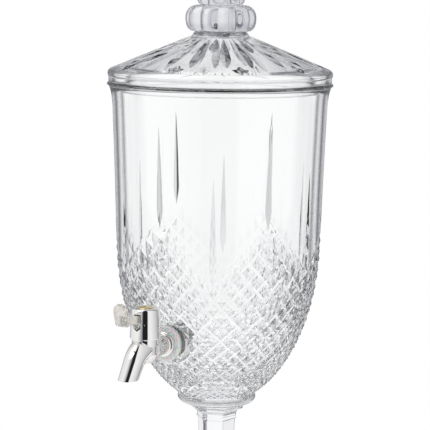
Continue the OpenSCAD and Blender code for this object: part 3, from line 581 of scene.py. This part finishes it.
def diamond_cutter():
    """The ring that is cut away round the diamonds: its inside is the net, and its outside clears the rim."""
    start = half_row(FIELD_DEPTH)
    rows = [FIELD_DEPTH - k * start for k in range(NET_ABOVE, 0, -1)] + field_rows()
    count, n = HALF_COLUMNS, len(rows)
    verts, inward, spot = [], [], []
    for i, d in enumerate(rows):
        lean = atan(bowl_lean(d))
        for j, turn in enumerate(turns(count)):
            verts.append((outer_r(d) * sin(turn), -outer_r(d) * cos(turn), RIM_Z - d))
            inward.append((-cos(lean) * sin(turn), cos(lean) * cos(turn), sin(lean)))
            spot.append((i - NET_ABOVE, j))
    clear = SHOULDER_R + 12
    for d in (rows[0], rows[-1]):
        for turn in turns(count):
            verts.append((clear * sin(turn), -clear * cos(turn), RIM_Z - d))
            inward.append((0, 0, 0))
            spot.append((0, 0))
    faces = []
    for i in range(n - 1):
        for j in range(count):
            a, b = count * i + j, count * i + (j + 1) % count
            c, e, k = a + count, b + count, i - NET_ABOVE
            even = (k + j) % 2 == 0
            ends = ((k, j), (k + 1, j + 1)) if even else ((k, j + 1), (k + 1, j))
            both = on_groove(*ends[0]) and on_groove(*ends[1])
            faces += [(a, e, b), (a, c, e)] if even == both else [(a, c, b), (b, c, e)]
    top, bottom, last = count * n, count * (n + 1), count * (n - 1)
    for j in range(count):
        k = (j + 1) % count
        faces += [(j, k, top + k, top + j), (top + j, top + k, bottom + k, bottom + j),
                  (bottom + j, bottom + k, last + k, last + j)]
    ring = make("diamond cutter", verts, faces)
    for label, values in (("row", [s[0] for s in spot]), ("column", [s[1] for s in spot])):
        ring.data.attributes.new(label, "INT", "POINT").data.foreach_set("value", values)
    flat = [part * MM for direction in inward for part in direction]
    ring.data.attributes.new("inward", "FLOAT_VECTOR", "POINT").data.foreach_set("vector", flat)
    apply_rule(ring, net_rule, Groove=GROOVE, Point=POINT_DROP, Clear=NET_CLEAR, Fade=FADE_ROWS,
               Peak=PEAK_COLUMNS, Finish=cut_glass)
    # The wheel leaves a narrow flat along the grooves' bottoms, which shows as a clear line. The outermost
    # groove on one side of each peak stays sharp.
    deep = [on_groove(i - 1, j - 1) for i, j in spot[:count * n]] + [False] * 2 * count
    marked = [float(deep[edge.vertices[0]] and deep[edge.vertices[1]]) for edge in ring.data.edges]
    ring.data.attributes.new("bevel_weight_edge", "FLOAT", "EDGE").data.foreach_set("value", marked)
    step = ring.modifiers.new("groove flats", "BEVEL")
    step.width, step.segments, step.limit_method = GROOVE_FLAT * MM, 1, "WEIGHT"
    return settle(ring)


def wedge(name, stations, widen):
    """A V-shaped cutter along a line on the front of the piece, from radius, height, lean and depth."""
    over, rings = 0.6, []
    for r, z, lean, depth in stations:
        out = (cos(radians(lean)), sin(radians(lean)))
        half = (depth + over) * widen / 2
        high = (r + over * out[0], z + over * out[1])
        rings.append([(0, -(r - depth * out[0]), z - depth * out[1]), (half, -high[0], high[1]),
                      (-half, -high[0], high[1])])
    return loft(name, rings)


def spear(tip, foot):
    """A cut that starts as a point high on the wall, deepens, and runs out in the field of diamonds."""
    steps, stations = 24, []
    for i in range(steps + 1):
        share = i / steps
        d = tip + (foot - tip) * share
        runs_out = min(1.0, (1 - share) / SPEAR_FADE)
        depth = SPEAR_DEPTH * GROOVE * share ** SPEAR_POWER * runs_out
        stations.append((outer_r(d), RIM_Z - d, 0, depth))
    return wedge("spear cutter", stations, SPEAR_SPREAD)


def carve_round(piece, cutter, repeats, first_turn, finish):
    """Cuts one shape into the piece all round it, and drops the cutter."""
    apply_rule(piece, cut_rule, Cutter=cutter, Repeats=repeats, **{"First turn": radians(first_turn)},
               Finish=finish)
    bpy.data.objects.remove(cutter)


def profile_depths(reach, last):
    """Depths of the points along the wall, closest where it curves most."""
    flare = [LIP_ROUND + LIP_DROP * (i / 16) ** 1.6 for i in range(17)]
    wall = [flare[-1] + (BOWL_DEPTH - flare[-1]) * i / 16 for i in range(1, 16)]
    end = asin((last - BOWL_DEPTH) / reach)
    return flare + wall + [BOWL_DEPTH + reach * sin(end * i / 64) for i in range(65)]


TAP = Matrix.Translation((0, -BARREL_Y, SHANK_Z))
ALONG_SHANK = TAP @ Matrix.Rotation(radians(-90), 4, "X")
PAD = Matrix.Translation((0, 0, SHANK_Z)) @ Matrix.Rotation(radians(90), 4, "X")


def build_vessel():
    """The blown shape, cut outside, hollowed, with a collar below and a flat pad and seat for the tap."""
    lip = arc((wall_r(LIP_ROUND) - LIP_ROUND, -LIP_ROUND), LIP_ROUND, 90, 10, 20)
    outside = [(outer_r(d), -d) for d in profile_depths(BOWL_REACH, BEAD_MID)]
    outline = [(0, 0)] + lip + outside + [(0, -BEAD_MID)]
    vessel = lathe("cut_glass_vessel", [(r, RIM_Z + z) for r, z in outline])
    cut(vessel, diamond_cutter())
    carve_round(vessel, spear(LONG_TIP, FIELD_DEPTH + SPEAR_LAP), PEAKS, 0, cut_glass)
    valley = field_rows()[PEAK_COLUMNS // 2]
    carve_round(vessel, spear(SHORT_TIP, valley + SPEAR_LAP), PEAKS, 180 / PEAKS, cut_glass)
    half = BEAD_H / 2
    bead = [(0, 0)] + arc((BEAD_R - half, half), half, -90, 90, 40) + [(0, BEAD_H)]
    seat_y = PAD_Y - PAD_T
    join(vessel, lathe("collar", [(r, PEDESTAL_H + z) for r, z in bead]),
         bar("pad", PAD_R, seat_y, PAD_Y, PAD, 128))
    mouth = inner_r(LIP_ROUND) + LIP_ROUND
    inside = [(inner_r(d), -d) for d in profile_depths(VESSEL_H - FLOOR_T - BOWL_DEPTH, VESSEL_H - FLOOR_T)]
    hollow = [(0, 1), (mouth, 1)] + arc((mouth, -LIP_ROUND), LIP_ROUND, 90, 170, 20) + inside[:-1]
    hollow = lathe("hollow", [(r, RIM_Z + z) for r, z in hollow] + [(0, PEDESTAL_H + FLOOR_T)])
    cut(hollow, bar("seat", SEAT_R, seat_y, BARREL_Y, PAD, 128))
    join(hollow, bar("seat face", SEAT_R, seat_y - 15, seat_y, PAD, 128))
    # The pad's face is sunk into the bulge of the bowl, with flared sides
    wide, far = PAD_R + 14, PAD_Y + 30
    spot_face = [(0, PAD_Y), (PAD_R - 1.5, PAD_Y), (wide, PAD_Y + 12), (wide, far), (0, far)]
    cut(vessel, hollow, lathe("spot face", spot_face, 128, PAD),
        bar("hole", HOLE_R, seat_y - 1, PAD_Y + 1, PAD))
    place_piece(vessel, cut_glass, "stand", "cut_glass", "vessel", crease=5)


# The pedestal

CORNER_WEAR, STEM_TURN = 0.985, 21.5


def hex_ring(corner, z, columns=120):
    """A six-sided level whose corners are a little worn by the mould."""
    points = []
    for j in range(columns):
        turn = 360 * j / columns
        side = corner * cos(radians(30)) / cos(radians(turn % 60 - 30))
        r = min(side, corner * CORNER_WEAR)
        angle = radians(turn + STEM_TURN)
        points.append((r * cos(angle), r * sin(angle), z))
    return points


def build_pedestal():
    """Six-sided stem and collar with a hollowed neck, on a round foot."""
    stem, collar, top = 17.5, 29.5, PEDESTAL_H + HAIR
    neck = [(stem + 1.6 + 6.4 * (1 - sin(radians(t))), top - 7 - 7.5 * (1 - cos(radians(t))))
            for t in range(90, -1, -9)]
    root = [(stem + 9 * (1 - sin(radians(t))) ** 1.5, 56 - 36 * (1 - sin(radians(t))) ** 0.8)
            for t in range(0, 91, 6)]
    ring = [(0.5, 22), (1, 17.6), (1.9, 16.8), (2.2, 16), (1.9, 15.2)]
    levels = root + [(stem + out, top - drop) for out, drop in ring] + neck + [
        (stem + 8.2, top - 6.8), (stem + 8.6, top - 4.8), (collar - 0.6, top - 3), (collar, top - 2.4),
        (collar, top - 0.3), (collar - 0.3, top)]
    stand = loft("pressed_glass_pedestal", [hex_ring(r, z) for r, z in levels])
    edge, foot, root_z, root_r = 6.0, 76.0, 21.0, stem + 10
    sweep = []
    for i in range(41):
        rise = 1 - cos(radians(2.25 * i))
        height = (root_z - edge) * (0.35 * rise + 0.65 * (i / 40) ** 2.2)
        sweep.append((foot - 2 - (foot - 2 - root_r) * rise, edge + height))
    outline = [(0, 0)] + arc((foot - 2, 2), 2, -90, 0, 12) + arc((foot - 2, edge - 2), 2, 0, 90, 12)
    join(stand, lathe("foot", outline + sweep[1:] + [(0, root_z)]))
    place_piece(stand, pressed_glass, "stand", "pressed_glass", "pedestal", crease=22)


# The lid and its finial

LID_R = node_box("lid")[1].x
LID_EDGE_T, LID_ROUND, LID_TOP_R, LID_T = 12.5, 5.0, 28.5, 6.5
LID_RISE = LID_TOP_Z - RIM_Z - LID_EDGE_T
SKIRT_H, SKIRT_T, SKIRT_GAP, SKIRT_ROUND = 8.0, 5.0, 1.4, 1.2
LID_SLOPE = degrees(atan2(LID_RISE, LID_R - LID_ROUND - LID_TOP_R))


def leaf(start, end, deepest, depth):
    """A leaf-shaped cut in the lid's cone, pointed at both ends."""
    steps, stations = 20, []
    for i in range(steps + 1):
        share = i / steps
        r = start + (end - start) * share
        rise = share / deepest if share < deepest else (1 - share) / (1 - deepest)
        z = LID_TOP_Z - (r - LID_TOP_R) * tan(radians(LID_SLOPE))
        stations.append((r, z, 90 - LID_SLOPE, depth * sin(radians(90 * rise))))
    return wedge("leaf cutter", stations, LEAF_SPREAD)


def build_lid():
    """A hollow cone with a round flange and a skirt, cut with long leaves and small fans."""
    skirt_r = inner_r(SKIRT_H) - SKIRT_GAP
    under_r, roof_r, top_z = skirt_r - SKIRT_T, LID_TOP_R - LID_T, LID_EDGE_T + LID_RISE
    edge = arc((LID_R - LID_ROUND, LID_EDGE_T - LID_ROUND), LID_ROUND, -35, 90 - LID_SLOPE, 40)
    # A short bevel leads from the flat underside to the round edge
    rim = [(LID_R - 1.6, HAIR), (LID_R - 0.9, 0.7)] + edge
    outline = [(0, top_z - LID_T), (roof_r, top_z - LID_T), (under_r, LID_EDGE_T - LID_T / 2)]
    for r, start in ((under_r + SKIRT_ROUND, 180), (skirt_r - SKIRT_ROUND, 270)):
        outline += arc((r, SKIRT_ROUND - SKIRT_H), SKIRT_ROUND, start, start + 90, 8)
    outline += [(skirt_r, HAIR)] + rim + [(LID_TOP_R, top_z), (0, top_z)]
    lid = lathe("cut_glass_lid", [(r, RIM_Z + z) for r, z in outline], 240)
    inner, outer, fan_r = LID_TOP_R + 3, LID_R - 16, LID_R - 3.6
    for side in (-1, 1):
        long_leaf = leaf(inner, outer, LONG_DEEPEST, LEAF_DEPTH)
        carve_round(lid, long_leaf, LEAF_REPEATS, FAN_TURN + side * LEAF_TURN, lid_glass)
    short_leaf = leaf(inner, (inner + outer) / 2, SHORT_DEEPEST, LEAF_DEPTH)
    carve_round(lid, short_leaf, LEAF_REPEATS, FAN_TURN + 180 / LEAF_REPEATS, lid_glass)
    for side in (-1, 0, 1):
        small = leaf(fan_r - FAN_LEAF, fan_r, FAN_DEEPEST, LEAF_DEPTH * FAN_DEPTH)
        foot = Matrix.Translation((0, -fan_r * MM, 0))
        small.data.transform(foot @ Matrix.Rotation(radians(side * FAN_SPREAD), 4, "Z") @ foot.inverted())
        carve_round(lid, small, LEAF_REPEATS, FAN_TURN, lid_glass)
    place_piece(lid, lid_glass, "lid_top", "lid_glass", "lid", crease=5)


def ball_levels(r, foot, top, height, z):
    """Radius, height and share of the lobes' depth up a ball that is pinched at its foot and top."""
    steps, levels = 40, []
    for i in range(steps + 1):
        turn = radians(-90 + 180 * i / steps)
        share = max(0.0, cos(turn)) ** 0.7
        neck = foot if turn < 0 else top
        levels.append((share * r + (1 - share) * neck, z + height * (1 + sin(turn)) / 2, share))
    return levels


def build_finial():
    """Two lobed balls, the smaller on the larger, with creases between the lobes."""
    lobes, lobe_depth, lobe_turn, columns = 10, 4.4, radians(9), 240
    pinch_r, pinch_h, ball_r, ball_h, knob_r, knob_h = 24.0, 4.5, 33.0, 24.5, 23.0, 27.0
    waist, ball_z = knob_r * 0.78, LID_TOP_Z + pinch_h
    levels = [(LID_TOP_R - 1.5, LID_TOP_Z - HAIR, 0)] + ball_levels(ball_r, pinch_r, waist, ball_h, ball_z)
    levels += ball_levels(knob_r, waist, 3, knob_h, ball_z + ball_h)[1:]
    rings = []
    for r, z, share in levels:
        ring = []
        for turn in turns(columns):
            here = r - lobe_depth * share * (1 - abs(sin(turn * lobes / 2)))
            ring.append((here * cos(turn + lobe_turn), here * sin(turn + lobe_turn), z))
        rings.append(ring)
    finial = loft("lobed_glass_finial", rings)
    place_piece(finial, finial_glass, "lid_top", "finial_glass", "lid_finial", crease=24)


# The tap

BONNET_Z, BONNET_H, ROOF_Z = 10.5, 27.5, 34.5
BONNET_TOP = BONNET_Z + BONNET_H
DISC_R, DISC_T = 7.4, 1.2
PIN_OUT, PIN_Z, PIN_HOLE_R = 10.0, 24.5, 1.55
BLADE_T = 6.6
WASHER_T, FLANGE_T, INNER_T, NUT_H, SHANK_END = 4.5, 3.5, 3, 8, 3
CHAMBER_R, CHAMBER_LOW, CHAMBER_TOP = 7.6, -3, 9
BEND_R, BEND_STEPS, TAIL_STEPS = 26.0, 32, 12
FLANGE_R, NECK_R, SHANK_R = 11.6, 9.3, 8.0
ACROSS = Matrix.Rotation(radians(90), 4, "Y")
PIN = TAP @ Matrix.Translation((0, -PIN_OUT, PIN_Z)) @ ACROSS


def spout_path(start, end, tail):
    """Points and slopes along the spout's middle, in forward distance and height."""
    middle = (7 - BEND_R * sin(radians(25)), 0.5 - BEND_R * cos(radians(25)))
    slopes = [start + (end - start) * i / BEND_STEPS for i in range(BEND_STEPS + 1)]
    path = [(middle[0] + BEND_R * sin(radians(s)), middle[1] + BEND_R * cos(radians(s)), s)
            for s in slopes]
    f, z, s = path[-1]
    for i in range(1, TAIL_STEPS + 1):
        step = tail * i / TAIL_STEPS
        path.append((f + step * cos(radians(s)), z - step * sin(radians(s)), s))
    return path


def pipe(name, path, radii, columns=72):
    """A round bar along a bent path, with a radius for each of its points."""
    rings = []
    for (f, z, slope), r in zip(path, radii):
        s = radians(slope)
        ring = []
        for t in turns(columns):
            across, up = r * sin(t), r * cos(t)
            ring.append((across, -(f + up * sin(s)), z + up * cos(s)))
        rings.append(ring)
    return loft(name, rings, TAP)


def build_tap_body():
    """Barrel with a turned collar, bent spout, neck, flange and threaded shank, with the way through them."""
    barrel_r, low_r, low_mid = 12.25, 11.2, -2.2
    barrel = [(0, low_mid - low_r)] + arc((0, low_mid), low_r, -88, 0, 40) + [(low_r, 4.4)]
    barrel += arc((barrel_r - 0.5, 5.0), 0.5, -90, 0, 6)
    spigot_r, guide_r, seat_r, spigot_z, seat_z = 10.55, 8.6, 3.8, BONNET_Z + 4, -6.6
    barrel += [(barrel_r, BONNET_Z - 0.4), (barrel_r - 0.4, BONNET_Z), (spigot_r, BONNET_Z),
               (spigot_r, spigot_z), (guide_r, spigot_z), (guide_r, CHAMBER_TOP), (CHAMBER_R, CHAMBER_TOP),
               (CHAMBER_R, CHAMBER_LOW), (seat_r, CHAMBER_LOW), (seat_r, seat_z), (0, seat_z)]
    tap = lathe("plated_tap_body", barrel, 144, TAP)
    way = spout_path(10, 60, 30)
    radii = [10.8 - 1.6 * i / BEND_STEPS for i in range(BEND_STEPS + 1)]
    radii += [9.2 - 0.8 * i / TAIL_STEPS for i in range(1, TAIL_STEPS + 1)]
    spout = pipe("spout", way, radii)
    inside = spout_path(45, 60, 34)
    cut(spout, pipe("spout bore", inside, [5.4] * len(inside)),
        plate("outlet cut", [(-10, -22.5), (70, -22.5), (70, -60), (-10, -60)], 60, TAP),
        bar("barrel room", 11.0, 3.0, 40, TAP), bar("chamber room", CHAMBER_R, CHAMBER_LOW, CHAMBER_TOP, TAP))
    join(tap, spout)
    start = TAP_REACH - WASHER_T - FLANGE_T
    end = TAP_REACH + PAD_T + INNER_T + NUT_H + SHANK_END
    collar = [(NECK_R, start - 2.2)] + arc((NECK_R + 2.2, start - 2.2), 2.2, 180, 130, 8)
    flange = arc((FLANGE_R - 1.6, start + 1.6), 1.6, -90, 0, 12) + [(FLANGE_R, start + FLANGE_T)]
    thread, z, pitch = [], start + FLANGE_T + PAD_T, 1.5
    while z + pitch < end - 0.6:
        thread += [(SHANK_R - 0.02, z), (SHANK_R - 0.7, z + pitch / 2)]
        z += pitch
    root = [(10.6, 7.0), (10.6, 11.6), (10.3, 12.6), (NECK_R, 13.4)]
    neck = [(0, 7.0)] + root + collar + flange + [(SHANK_R, start + FLANGE_T)] + thread
    neck += [(SHANK_R, z), (SHANK_R, end - 0.6), (SHANK_R - 0.6, end), (0, end)]
    shank = lathe("shank", neck, 96, ALONG_SHANK)
    cut(shank, bar("chamber side", CHAMBER_R, CHAMBER_LOW, CHAMBER_TOP, TAP))
    join(tap, shank)
    cut(tap, bar("shank bore", 4.0, 6.8, end + 1, ALONG_SHANK))
    place_piece(tap, chrome_plate, "stand", "chrome_plate", "tap_body", crease=28)


def build_bonnet():
    """A tapered cap with a rounded top edge, a pointed slot for the lever and a pocket for the disc."""
    base, top_r, edge = 13.95, 12.7, 2.0
    outline = [(base - 1.2, BONNET_Z)] + arc((base - 1.0, BONNET_Z + 1.0), 1.0, -60, 2, 8)
    outline += arc((top_r - edge, BONNET_TOP - edge), edge, 2, 90, 20)
    outline += [(DISC_R, BONNET_TOP), (DISC_R, BONNET_TOP - DISC_T), (0, BONNET_TOP - DISC_T), (0, ROOF_Z),
                (10.6, ROOF_Z), (10.6, BONNET_Z)]
    bonnet = lathe("plated_bonnet", outline, 144, TAP)
    half, low, high = BLADE_T / 2 + 0.3, PIN_Z - 3.5, ROOF_Z - 1
    slot = [(0, PIN_Z - 6.2), (half, low), (half, high), (-half, high), (-half, low)]
    cut(bonnet, loft("slot", [[(x, y, z) for x, z in slot] for y in (0, -20)], TAP),
        bar("pin hole", PIN_HOLE_R, -16, 7.06, PIN))
    soften(bonnet, 0.3)
    place_piece(bonnet, chrome_plate, "stand", "chrome_plate", "tap_bonnet", crease=28)


def build_disc():
    """The thin gold-tone disc, gently domed, with a raised rim and a turned ring."""
    base = BONNET_TOP - DISC_T
    r = DISC_R - 0.05
    outline = [(0, 0), (r, 0), (r, 1.1), (r - 0.2, 1.3), (r - 0.7, 1.3), (r - 0.9, 1.15), (r - 1.6, 1.18),
               (r - 1.8, 1.35), (r - 2.1, 1.4)]
    outline += [((r - 2.1) * (1 - i / 12), 1.4 + 0.28 * sin(radians(7.5 * i))) for i in range(1, 13)]
    outline = [(r, base + z) for r, z in outline]
    place_piece(lathe("gold_disc", outline, 128, TAP), gold_tone, "stand", "gold_tone", "bonnet_disc")


def build_lever():
    """The clear lever: fork, pin boss, deep blade and a rounded thumb paddle that leans outward."""
    nose_r, nose_z, root, paddle_out = 1.9, 16.7, 32.5, 31.0
    low = nose_z - nose_r
    blade = [(0, low), (6.5, low), (9.6, PIN_Z - 3), (13.5, PIN_Z - 1.8), (19, PIN_Z + 1.5),
             (paddle_out + 1, PIN_Z + 3.5), (paddle_out + 3, root + 4), (11.5, root), (7.8, root - 1.2),
             (7.4, PIN_Z), (5.6, nose_z + nose_r), (0, nose_z + nose_r)]
    lever = plate("clear_lever", blade, BLADE_T, TAP)
    nose = TAP @ Matrix.Translation((0, 0, nose_z)) @ ACROSS
    half = BLADE_T / 2
    join(lever, bar("nose", nose_r, -half, half, nose), bar("boss", 2.9, -half, half, PIN))
    side, height, thick, corner = 14.5 / 2, 21.0, 5.0, 3
    outline = arc((side - corner, corner), corner, 0, -90, 10)[::-1]
    outline += arc((0, height - side), side, 0, 180, 40) + arc((corner - side, corner), corner, 180, 270, 10)
    lean = TAP @ Matrix.Translation((0, -paddle_out, PIN_Z + 2.8)) @ Matrix.Rotation(radians(15), 4, "X")
    paddle = loft("paddle", [[(x, y, z) for x, z in outline] for y in (0, -thick)], lean)
    soften(paddle, 1.6, 6)
    join(lever, paddle)
    keel = [(0, PIN_Z - 4.6), (half, PIN_Z - 2), (half, PIN_Z + 2), (-half, PIN_Z + 2), (-half, PIN_Z - 2)]
    join(lever, loft("keel", [[(x, -f, z) for x, z in keel] for f in (10.2, 14.2)], TAP))
    fork = [(-4, low - 1), (4.8, low - 1), (4.8, low + 5.8), (-4, low + 5.8)]
    cut(lever, plate("fork gap", fork, 3.8, TAP), bar("pin hole", PIN_HOLE_R, -9, 9, PIN))
    place_piece(lever, clear_acrylic, "tap_lever", "clear_acrylic", "lever")


def build_washers():
    """Soft washers either side of the glass, with rounded edges, and the nut that draws them tight."""
    bore = SHANK_R + 0.05
    low, back = TAP_REACH - WASHER_T, TAP_REACH - HAIR
    outline = [(bore, low), (12.0, low)]
    for r in (12.4, 13.9):
        outline += arc((r, low), 0.35, 180, 0, 8)
    outline += arc((15.3, low + 1.2), 1.2, -90, 0, 10) + arc((16.2, back - 0.3), 0.3, 0, 90, 4)
    outer = lathe("soft_outer_washer", outline + [(bore, back)], 128, ALONG_SHANK)
    place_piece(outer, silicone, "stand", "silicone", "outer_washer")
    low = TAP_REACH + PAD_T
    outline = [(bore, low + HAIR)] + arc((14.0, low + 0.5 + HAIR), 0.5, -90, 0, 6)
    outline += arc((14.0, low + INNER_T - 0.5), 0.5, 0, 90, 6) + [(bore, low + INNER_T)]
    inner = lathe("soft_inner_washer", outline, 128, ALONG_SHANK)
    place_piece(inner, silicone, "stand", "silicone", "inner_washer")
    low += INNER_T
    nut_r = 13.8
    corners = [(nut_r * cos(radians(60 * k)), nut_r * sin(radians(60 * k))) for k in range(6)]
    nut = loft("plated_shank_nut", [[(x, y, z) for x, y in corners] for z in (low, low + NUT_H)], ALONG_SHANK)
    chamfer = [(0, low - 1), (12.2, low - 1), (14.2, low + 1), (14.2, low + 7), (12.2, low + 9), (0, low + 9)]
    combine(nut, lathe("chamfer", chamfer, 96, ALONG_SHANK), "INTERSECT")
    cut(nut, bar("nut bore", bore, low - 1, low + 9, ALONG_SHANK, 96))
    place_piece(nut, nut_plate, "stand", "nut_plate", "shank_nut")


def build_spring():
    """The return spring, wound between the stem's collar and the bonnet's roof."""
    low, high = node_box("return_spring")
    wire, radius = 0.4, 3.2
    spring = make("wound_return_spring", [(0, 0, 0), (1, 0, 0), (0, 1, 0)], [(0, 1, 2)])
    apply_rule(spring, coil_rule, Turns=6.0, Radius=radius * MM, Wire=wire * MM,
               Height=(high.z - low.z - 2 * wire) * MM, Foot=Vector((0, -BARREL_Y, low.z + wire)) * MM,
               Finish=stainless)
    place_piece(spring, stainless, "stand", "stainless", "return_spring")
    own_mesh(spring)


build_vessel()
build_pedestal()
build_lid()
build_finial()
build_tap_body()
build_bonnet()
build_disc()
build_lever()
build_washers()
build_spring()

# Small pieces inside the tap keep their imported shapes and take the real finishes
for node, finish in (("lever_pin", stainless), ("valve_stem", acetal), ("seat_cup", silicone),
                     ("stem_guide", acetal), ("stem_seal", silicone)):
    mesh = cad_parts[node].data
    mesh.materials.clear()
    mesh.materials.append(finish)


# The room: a white studio, with grey either side of a bright backdrop and a few dark panels, which draw the
# edges of glass and chrome

# Light level that a shiny face meets, by the turn from the camera's place to the left (-) or right (+)
SHINE_ROUND = [(-180, 0.8), (-166, 0.35), (-150, 0.55), (-128, 0.9), (-62, 1.0), (-50, 0.85), (-24, 0.4),
               (-17, 0.02), (17, 0.02), (21, 0.98), (44, 0.98), (80, 0.78), (100, 0.6), (114, 0.3),
               (128, 0.6), (150, 0.6), (166, 0.4), (180, 0.8)]
# Light level that shows through glass, by the same turn, alike to left and right, and by height above the
# horizon
GLASS_RIGHT = [(101, 1.0), (107, 0.25), (118, 0.25), (124, 1.0), (132, 1.0), (142, 0.85), (161, 0.82),
               (168, 1.0), (180, 1.0)]
GLASS_ROUND = [(-turn, level) for turn, level in GLASS_RIGHT[::-1]] + GLASS_RIGHT
GLASS_BY_HEIGHT = [(-90, 1.0), (3, 1.0), (9, 0.85), (28, 0.9), (40, 0.45), (60, 0.4), (72, 1.0), (90, 1.0)]


def build_world():
    """The room's light: plain white to the eye, toned where glass or a shiny face looks at it."""
    world = bpy.data.worlds.new("studio")
    bpy.context.scene.world = world
    world.use_nodes = True
    tree = world.node_tree
    tree.nodes.clear()
    direction = add(tree, "ShaderNodeTexCoord", out="Generated")
    ahead = add(tree, "ShaderNodeVectorRotate", {"Vector": direction, "Angle": radians(-CAMERA_AZIMUTH)},
                rotation_type="Z_AXIS")
    across, along, up = add(tree, SEPARATE, (ahead,), None)
    towards = add(tree, MATH, (along, -1.0), operation="MULTIPLY")
    turn = add(tree, MATH, (across, towards), operation="ARCTAN2")
    height = add(tree, MATH, (up,), operation="ARCSINE")
    levels = []
    ramps = (turn, 180, SHINE_ROUND), (turn, 180, GLASS_ROUND), (height, 90, GLASS_BY_HEIGHT)
    for angle, reach, stops in ramps:
        share = add(tree, MAP_RANGE, (angle, radians(-reach), radians(reach)))
        level = add(tree, "ShaderNodeValToRGB", (share,))
        ramp = level.node.color_ramp
        marks = [ramp.elements[0]] + [ramp.elements.new((at + reach) / (2 * reach)) for at, _ in stops[1:-1]]
        for mark, (_, shade) in zip(marks + [ramp.elements[len(stops) - 1]], stops):
            mark.color = (shade, shade, shade, 1)
        levels.append(level)
    mirrored, around, above = levels
    through = add(tree, MATH, (around, above), operation="MULTIPLY")
    path = add(tree, "ShaderNodeLightPath", out=None)
    # Light that has been through glass meets the bright room in any later reflection
    unbent = add(tree, MATH, (path["Transmission Depth"], 0.5), operation="LESS_THAN")
    shiny = add(tree, MATH, (path["Is Glossy Ray"], unbent), operation="MULTIPLY")
    level = add(tree, MIX, {0: shiny, 2: 1.0, 3: mirrored})
    level = add(tree, MIX, {0: path["Is Transmission Ray"], 2: level, 3: through})
    level = add(tree, MIX, {0: path["Is Camera Ray"], 2: level, 3: 1.0})
    # The dark panels are a cool grey
    colour = add(tree, MIX, {0: level, 6: linear("#dfe2f2"), 7: (1, 1, 1, 1)}, 2, data_type="RGBA")
    shown = add(tree, "ShaderNodeBackground", {"Color": colour, "Strength": level})
    add(tree, "ShaderNodeOutputWorld", {"Surface": shown})


def build_floor():
    """A pale round table top that keeps the shadow near the foot and fades into the white room."""
    table_r, fade_from, fade_to = 380, 0.16, 0.37
    finish, tree, place = new_finish("white table top")
    away = add(tree, VECTOR_MATH, (place,), "Value", operation="LENGTH")
    fade = add(tree, MAP_RANGE, (away, fade_from, fade_to), interpolation_type="SMOOTHSTEP")
    matt = add(tree, "ShaderNodeBsdfDiffuse", {"Color": linear("#fbfbfb")})
    white = add(tree, "ShaderNodeEmission", {"Color": (1, 1, 1, 1), "Strength": 1.0})
    through = add(tree, "ShaderNodeLightPath", out="Is Transmission Ray")
    bright = add(tree, MATH, (fade, through), operation="MAXIMUM")
    both = add(tree, "ShaderNodeMixShader", (bright, matt, white))
    add(tree, "ShaderNodeOutputMaterial", {"Surface": both})
    floor = lathe("table top", [(0, -2), (table_r, -2), (table_r, -0.2), (0, -0.2)], 128)
    floor.data.materials.append(finish)


def add_lamp(name, azimuth, elevation, distance, size, power):
    """A round soft lamp that faces the middle of the dispenser."""
    lamp = bpy.data.lights.new(name, "AREA")
    lamp.size, lamp.energy = size, power
    lamp.shape = "DISK"
    holder = put(name, lamp)
    aim(holder, Vector((0, 0, 0.25)), azimuth, elevation, distance, 0)


def aim(holder, target, azimuth, elevation, distance, roll):
    """Stands a camera or lamp at an angle round the target and turns it to face it."""
    a, e = radians(azimuth), radians(elevation)
    back = Vector((sin(a) * cos(e), -cos(a) * cos(e), sin(e)))
    holder.location = target + back * distance
    turn = back.to_track_quat("Z", "Y") @ Quaternion((0, 0, 1), radians(roll))
    holder.rotation_euler = turn.to_euler()


def build_camera():
    """The photograph's own view, at its scale in pixels for each millimetre."""
    lens = bpy.data.cameras.new("photo camera")
    lens.sensor_width = SENSOR
    lens.lens = PIXELS_PER_MM * CAMERA_DISTANCE / MM / PICTURE_WIDTH * SENSOR
    camera = put("photo camera", lens)
    a = radians(CAMERA_AZIMUTH)
    target = Vector((-AIM_LEFT * cos(a), -AIM_LEFT * sin(a), AIM_Z)) * MM
    aim(camera, target, CAMERA_AZIMUTH, CAMERA_ELEVATION, CAMERA_DISTANCE, CAMERA_ROLL)
    bpy.context.scene.camera = camera


build_world()
build_floor()
build_camera()
add_lamp("soft key", azimuth=-30, elevation=55, distance=1.6, size=1.2, power=6.0)
bpy.context.scene.view_settings.view_transform = "Standard"
# Light crosses many faces of thick cut glass before it comes out, and its reflections inside fade after a few
GLASS_CROSSINGS, GLASS_REFLECTIONS = 64, 6
bpy.context.scene.cycles.max_bounces = GLASS_CROSSINGS
bpy.context.scene.cycles.transmission_bounces = GLASS_CROSSINGS
bpy.context.scene.cycles.glossy_bounces = GLASS_REFLECTIONS
